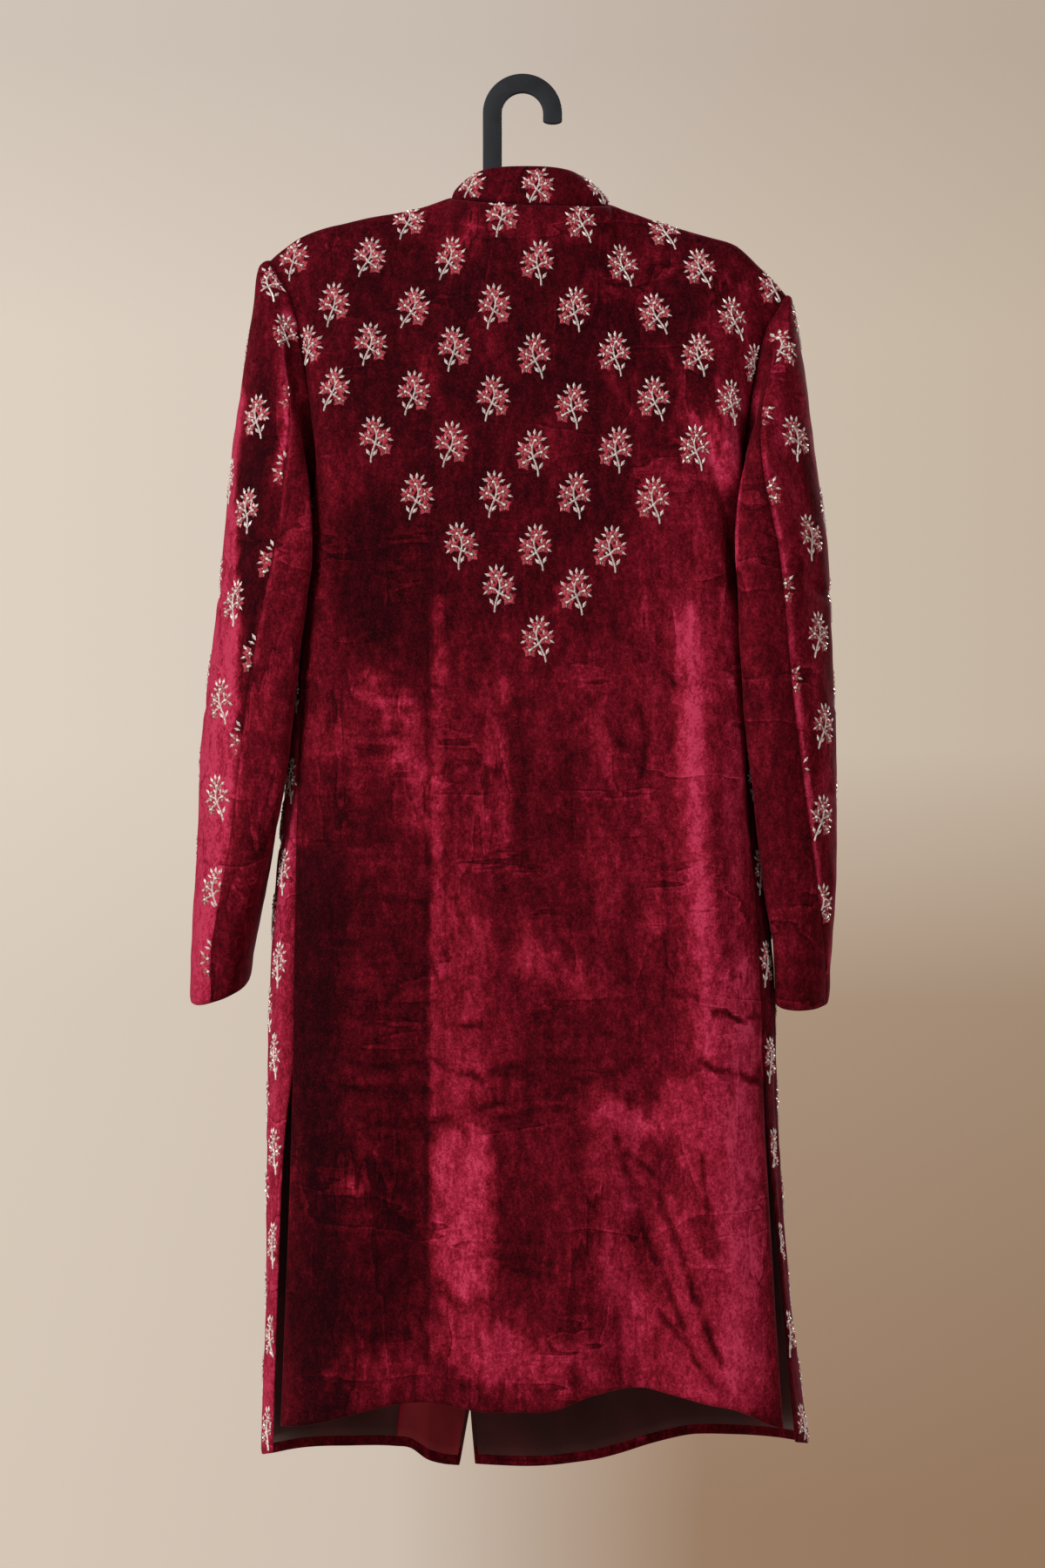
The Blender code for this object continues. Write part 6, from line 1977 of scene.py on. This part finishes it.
def make_buttons(materials):
    """Domed metal buttons with a beaded rim and a raised rosette."""
    for number in range(BUTTONS):
        place, normal = centre_front(BUTTON_TOP_DOWN + BUTTON_PITCH * number)
        turn = Vector((0, 0, 1)).rotation_difference(Vector(normal)).to_matrix().to_4x4()
        seat = Matrix.Translation(Vector(place + normal * BUTTON_GAP)) @ turn
        mesh = revolve(button_outline(), BUTTON_SIDES, seat)
        for beads in BUTTON_BEADS:
            flatness = max(0.0, 1 - (beads.reach / BUTTON_CROWN_SHARE) ** 2)
            lift = BUTTON_RIM + (BUTTON_DOME - BUTTON_RIM) * math.sqrt(flatness)
            reach = beads.reach * BUTTON_DOME_RADIUS
            for x, y in oval(0, 0, reach, reach, np.arange(beads.count) * 360 / beads.count):
                bmesh.ops.create_icosphere(mesh, subdivisions=1, radius=beads.radius,
                                           matrix=seat @ Matrix.Translation((x, y, lift)))
        obj = link_mesh("silver_button_" + str(number + 1), mesh)
        dress(obj, "button_" + str(number + 1), "silver", materials["silver"])


def hook_outline():
    """Flat outline of the hook and stem, with a rounded tip, as (x, z) points."""
    arc = range(0, 181, 5)
    outer = oval(0, -HOOK_INNER_RADIUS, HOOK_OUTER_RADIUS, HOOK_OUTER_RADIUS, arc)
    inner = oval(0, -HOOK_INNER_RADIUS, HOOK_INNER_RADIUS, HOOK_INNER_RADIUS, arc[::-1])
    middle = -(HOOK_OUTER_RADIUS + HOOK_INNER_RADIUS) / 2
    half = (HOOK_OUTER_RADIUS - HOOK_INNER_RADIUS) / 2
    tip = oval(middle, HOOK_TIP_ROUND - HOOK_TIP_DOWN, half, HOOK_TIP_ROUND,
               range(180, 361, 20))
    foot = [(HOOK_INNER_RADIUS, -STEM_FOOT_DOWN), (HOOK_OUTER_RADIUS, -STEM_FOOT_DOWN)]
    return outer + tip + inner + foot


def hook_mesh():
    """The flat hook and stem, with rounded edges, standing upright."""
    curve = bpy.data.curves.new("hook", "CURVE")
    curve.dimensions = "2D"
    curve.fill_mode = "BOTH"
    curve.extrude = HOOK_THICKNESS / 2 - HOOK_BEVEL
    curve.bevel_depth = HOOK_BEVEL
    curve.bevel_resolution = 2
    curve.offset = -HOOK_BEVEL
    outline = hook_outline()
    spline = curve.splines.new("POLY")
    spline.points.add(len(outline) - 1)
    for point, (x, z) in zip(spline.points, outline):
        point.co = (x, z, 0, 1)
    spline.use_cyclic_u = True
    flat = linked("hook", curve)
    bpy.context.view_layer.update()
    evaluated = flat.evaluated_get(bpy.context.evaluated_depsgraph_get())
    mesh = bmesh.new()
    mesh.from_mesh(bpy.data.meshes.new_from_object(evaluated))
    bpy.data.objects.remove(flat)
    bmesh.ops.remove_doubles(mesh, verts=mesh.verts, dist=MERGED)
    bmesh.ops.transform(mesh, matrix=Matrix.Rotation(math.pi / 2, 4, "X"), verts=mesh.verts)
    return mesh


def add_arms(mesh):
    """Add the arms, one rounded bar under the shoulders that narrows to its two tips."""
    even = np.linspace(-ARM_SPAN, ARM_SPAN, ARM_RINGS)
    closer_at_tips = ARM_SPAN * np.sin(even / ARM_SPAN * math.pi / 2)
    rings = []
    for x in mix(closer_at_tips, even, ARM_EVENNESS):
        top = ridge_down(x) + WALL + ARM_GAP
        into_tip = max(0.0, (abs(x) - ARM_SPAN + ARM_TIP) / ARM_TIP)
        tip = max(ARM_TIP_LEAST, math.sqrt(max(0.0, 1 - into_tip ** 2)))
        half_height = mix(ARM_HALF_HEIGHT, ARM_TIP_HALF_HEIGHT, smooth(abs(x) / ARM_SPAN))
        section = oval(ARM_MIDDLE, -top - half_height, tip * ARM_HALF_THICKNESS,
                       tip * half_height, np.arange(ARM_SIDES) * 360 / ARM_SIDES)
        rings.append([mesh.verts.new((x, y, z)) for y, z in section])
    for near, far in zip(rings, rings[1:]):
        for k in range(ARM_SIDES):
            following = (k + 1) % ARM_SIDES
            mesh.faces.new((near[k], near[following], far[following], far[k]))
    mesh.faces.new(rings[0])
    mesh.faces.new(rings[-1])


def make_hanger(materials):
    """Moulded hook and arms with rounded edges, along the same outlines as the solid."""
    mesh = hook_mesh()
    add_arms(mesh)
    bmesh.ops.recalc_face_normals(mesh, faces=mesh.faces)
    hanger = link_mesh("moulded_hanger", mesh)
    dress(hanger, "hanger", "hanger", materials["hanger"])


# ---------------------------------------------------------------- the studio

# The wall's colours, from the wearer's right to the left, painted lighter to the left where
# the key light falls, and how they change with height, with painted shade low on the right
BACKDROP = [
    (0.10, (0.545, 0.445, 0.345)),
    (0.32, (0.600, 0.500, 0.405)),
    (0.55, (0.668, 0.575, 0.490)),
    (0.85, (0.730, 0.638, 0.540)),
]
BACKDROP_SPAN = (-0.20, 0.20)
HEIGHT_TONES = [(0.0, (1.0, 1.0, 1.0)), (0.62, (1.0, 1.0, 1.0)), (1.0, (0.86, 0.86, 0.88))]
HEIGHT_SPAN = (0.0, 0.20)
LOW_SHADE = [(0.0, (0.0, 0.0, 0.0)), (0.34, (0.72, 0.72, 0.72)), (1.0, (1.0, 1.0, 1.0))]
LOW_SPAN = (0.01, -0.20)
LOW_SIDE_SPAN = (0.036, -0.050)
LOW_SHADE_TINT = (0.53, 0.395, 0.304, 1.0)
LOW_LEFT = 0.18
FILL_STRENGTH = 0.50

Lamp = namedtuple("Lamp", "name place size energy colour")
LAMPS = [
    Lamp("key", (2.3, 2.6, 0.5), 1.6, 118, (1.0, 0.96, 0.91)),
    Lamp("fill", (-2.2, 2.8, 0.2), 1.8, 34, (1.0, 0.97, 0.94)),
    Lamp("far side", (-1.6, -2.8, 0.7), 1.8, 90, (1.0, 0.96, 0.92)),
]
LAMP_TARGET = (0.0, 0.0, -0.6)
FLOOR_RADIUS = 1.3
FLOOR_SIDES = 96
FLOOR_Z = -1.62
CAMERA_PLACE = (0.0, 3.075, -0.5958)
LENS = 81.86
SENSOR_WIDTH = 36


def make_world():
    """A soft pale studio wall all round, painted lighter to the wearer's left where the key
    light falls, with painted shade low on its right.
    """
    world = bpy.data.worlds.new("studio")
    bpy.context.scene.world = world
    world.use_nodes = True
    tree = world.node_tree
    way = add_node(tree, "TexCoord").outputs["Generated"]
    side, _, height = add_node(tree, "SeparateXYZ", {"Vector": way}).outputs
    colour = ramp(tree, map_range(tree, side, *BACKDROP_SPAN), BACKDROP)
    tone = ramp(tree, map_range(tree, height, *HEIGHT_SPAN), HEIGHT_TONES)
    colour = mix_colours(tree, 1.0, colour, tone, "MULTIPLY")
    shade = ramp(tree, map_range(tree, height, *LOW_SPAN), LOW_SHADE)
    shown = map_range(tree, side, *LOW_SIDE_SPAN, LOW_LEFT)
    darker = math_node(tree, "MULTIPLY", shade, shown)
    seen = add_node(tree, "LightPath").outputs["Is Camera Ray"]
    connect(tree, tree.nodes["Background"], {
        "Color": mix_colours(tree, darker, colour, LOW_SHADE_TINT, "MULTIPLY"),
        "Strength": map_range(tree, seen, 0.0, 1.0, FILL_STRENGTH),
    })


def make_lamp(lamp):
    """A round area light that points at the coat's middle."""
    data = bpy.data.lights.new(lamp.name, "AREA")
    data.shape = "DISK"
    data.size = lamp.size
    data.energy = lamp.energy
    data.color = lamp.colour
    obj = linked(lamp.name, data)
    obj.location = lamp.place
    way = Vector(LAMP_TARGET) - Vector(lamp.place)
    obj.rotation_euler = way.to_track_quat("-Z", "Y").to_euler()


def make_floor():
    mesh = bmesh.new()
    bmesh.ops.create_circle(mesh, cap_ends=True, segments=FLOOR_SIDES, radius=FLOOR_RADIUS,
                            matrix=Matrix.Translation((0, 0, FLOOR_Z)))
    floor = link_mesh("floor", mesh)
    made, tree, shader, _ = node_material("pale floor")
    connect(tree, shader, {"Base Color": (0.60, 0.52, 0.44, 1.0), "Roughness": 0.8})
    floor.data.materials.append(made)


def make_camera():
    """The photo's own view, from straight behind the coat."""
    data = bpy.data.cameras.new("camera")
    data.lens = LENS
    data.sensor_width = SENSOR_WIDTH
    camera = linked("camera", data)
    camera.location = CAMERA_PLACE
    camera.rotation_euler = (math.pi / 2, 0, math.pi)
    bpy.context.scene.camera = camera


def main():
    """Build the looks of every piece, and the studio round them."""
    materials = {
        "velvet": velvet(),
        "lining": satin("maroon lining", (0.022, 0.0030, 0.0045), (0.052, 0.0070, 0.0100)),
        "facing": satin("red facing", (0.125, 0.0020, 0.0075), (0.240, 0.0070, 0.0200)),
        "silver": glossy("antique silver", (0.30, 0.27, 0.25), (0.62, 0.58, 0.54), 0.32, 0.9),
        "hanger": glossy("charcoal plastic", (0.009, 0.011, 0.016), (0.014, 0.017, 0.023),
                         0.55, scale=60, specular=0.22),
    }
    materials["thread"] = (
        glossy("silver thread", (0.36, 0.285, 0.290), (0.88, 0.82, 0.81), 0.42, 0.10),
        glossy("red glass", (0.16, 0.007, 0.018), (0.50, 0.048, 0.080), 0.22, scale=420),
        glossy("clear stone", (0.70, 0.66, 0.64), (0.95, 0.92, 0.90), 0.08, 0.2),
    )
    back, back_normals, fronts = make_body(materials)
    make_sleeves(back, back_normals, fronts, materials)
    make_collar(materials)
    make_lining(fronts, materials)
    make_buttons(materials)
    make_hanger(materials)
    make_world()
    for lamp in LAMPS:
        make_lamp(lamp)
    make_floor()
    make_camera()
    bpy.context.scene.view_settings.view_transform = "Standard"


main()
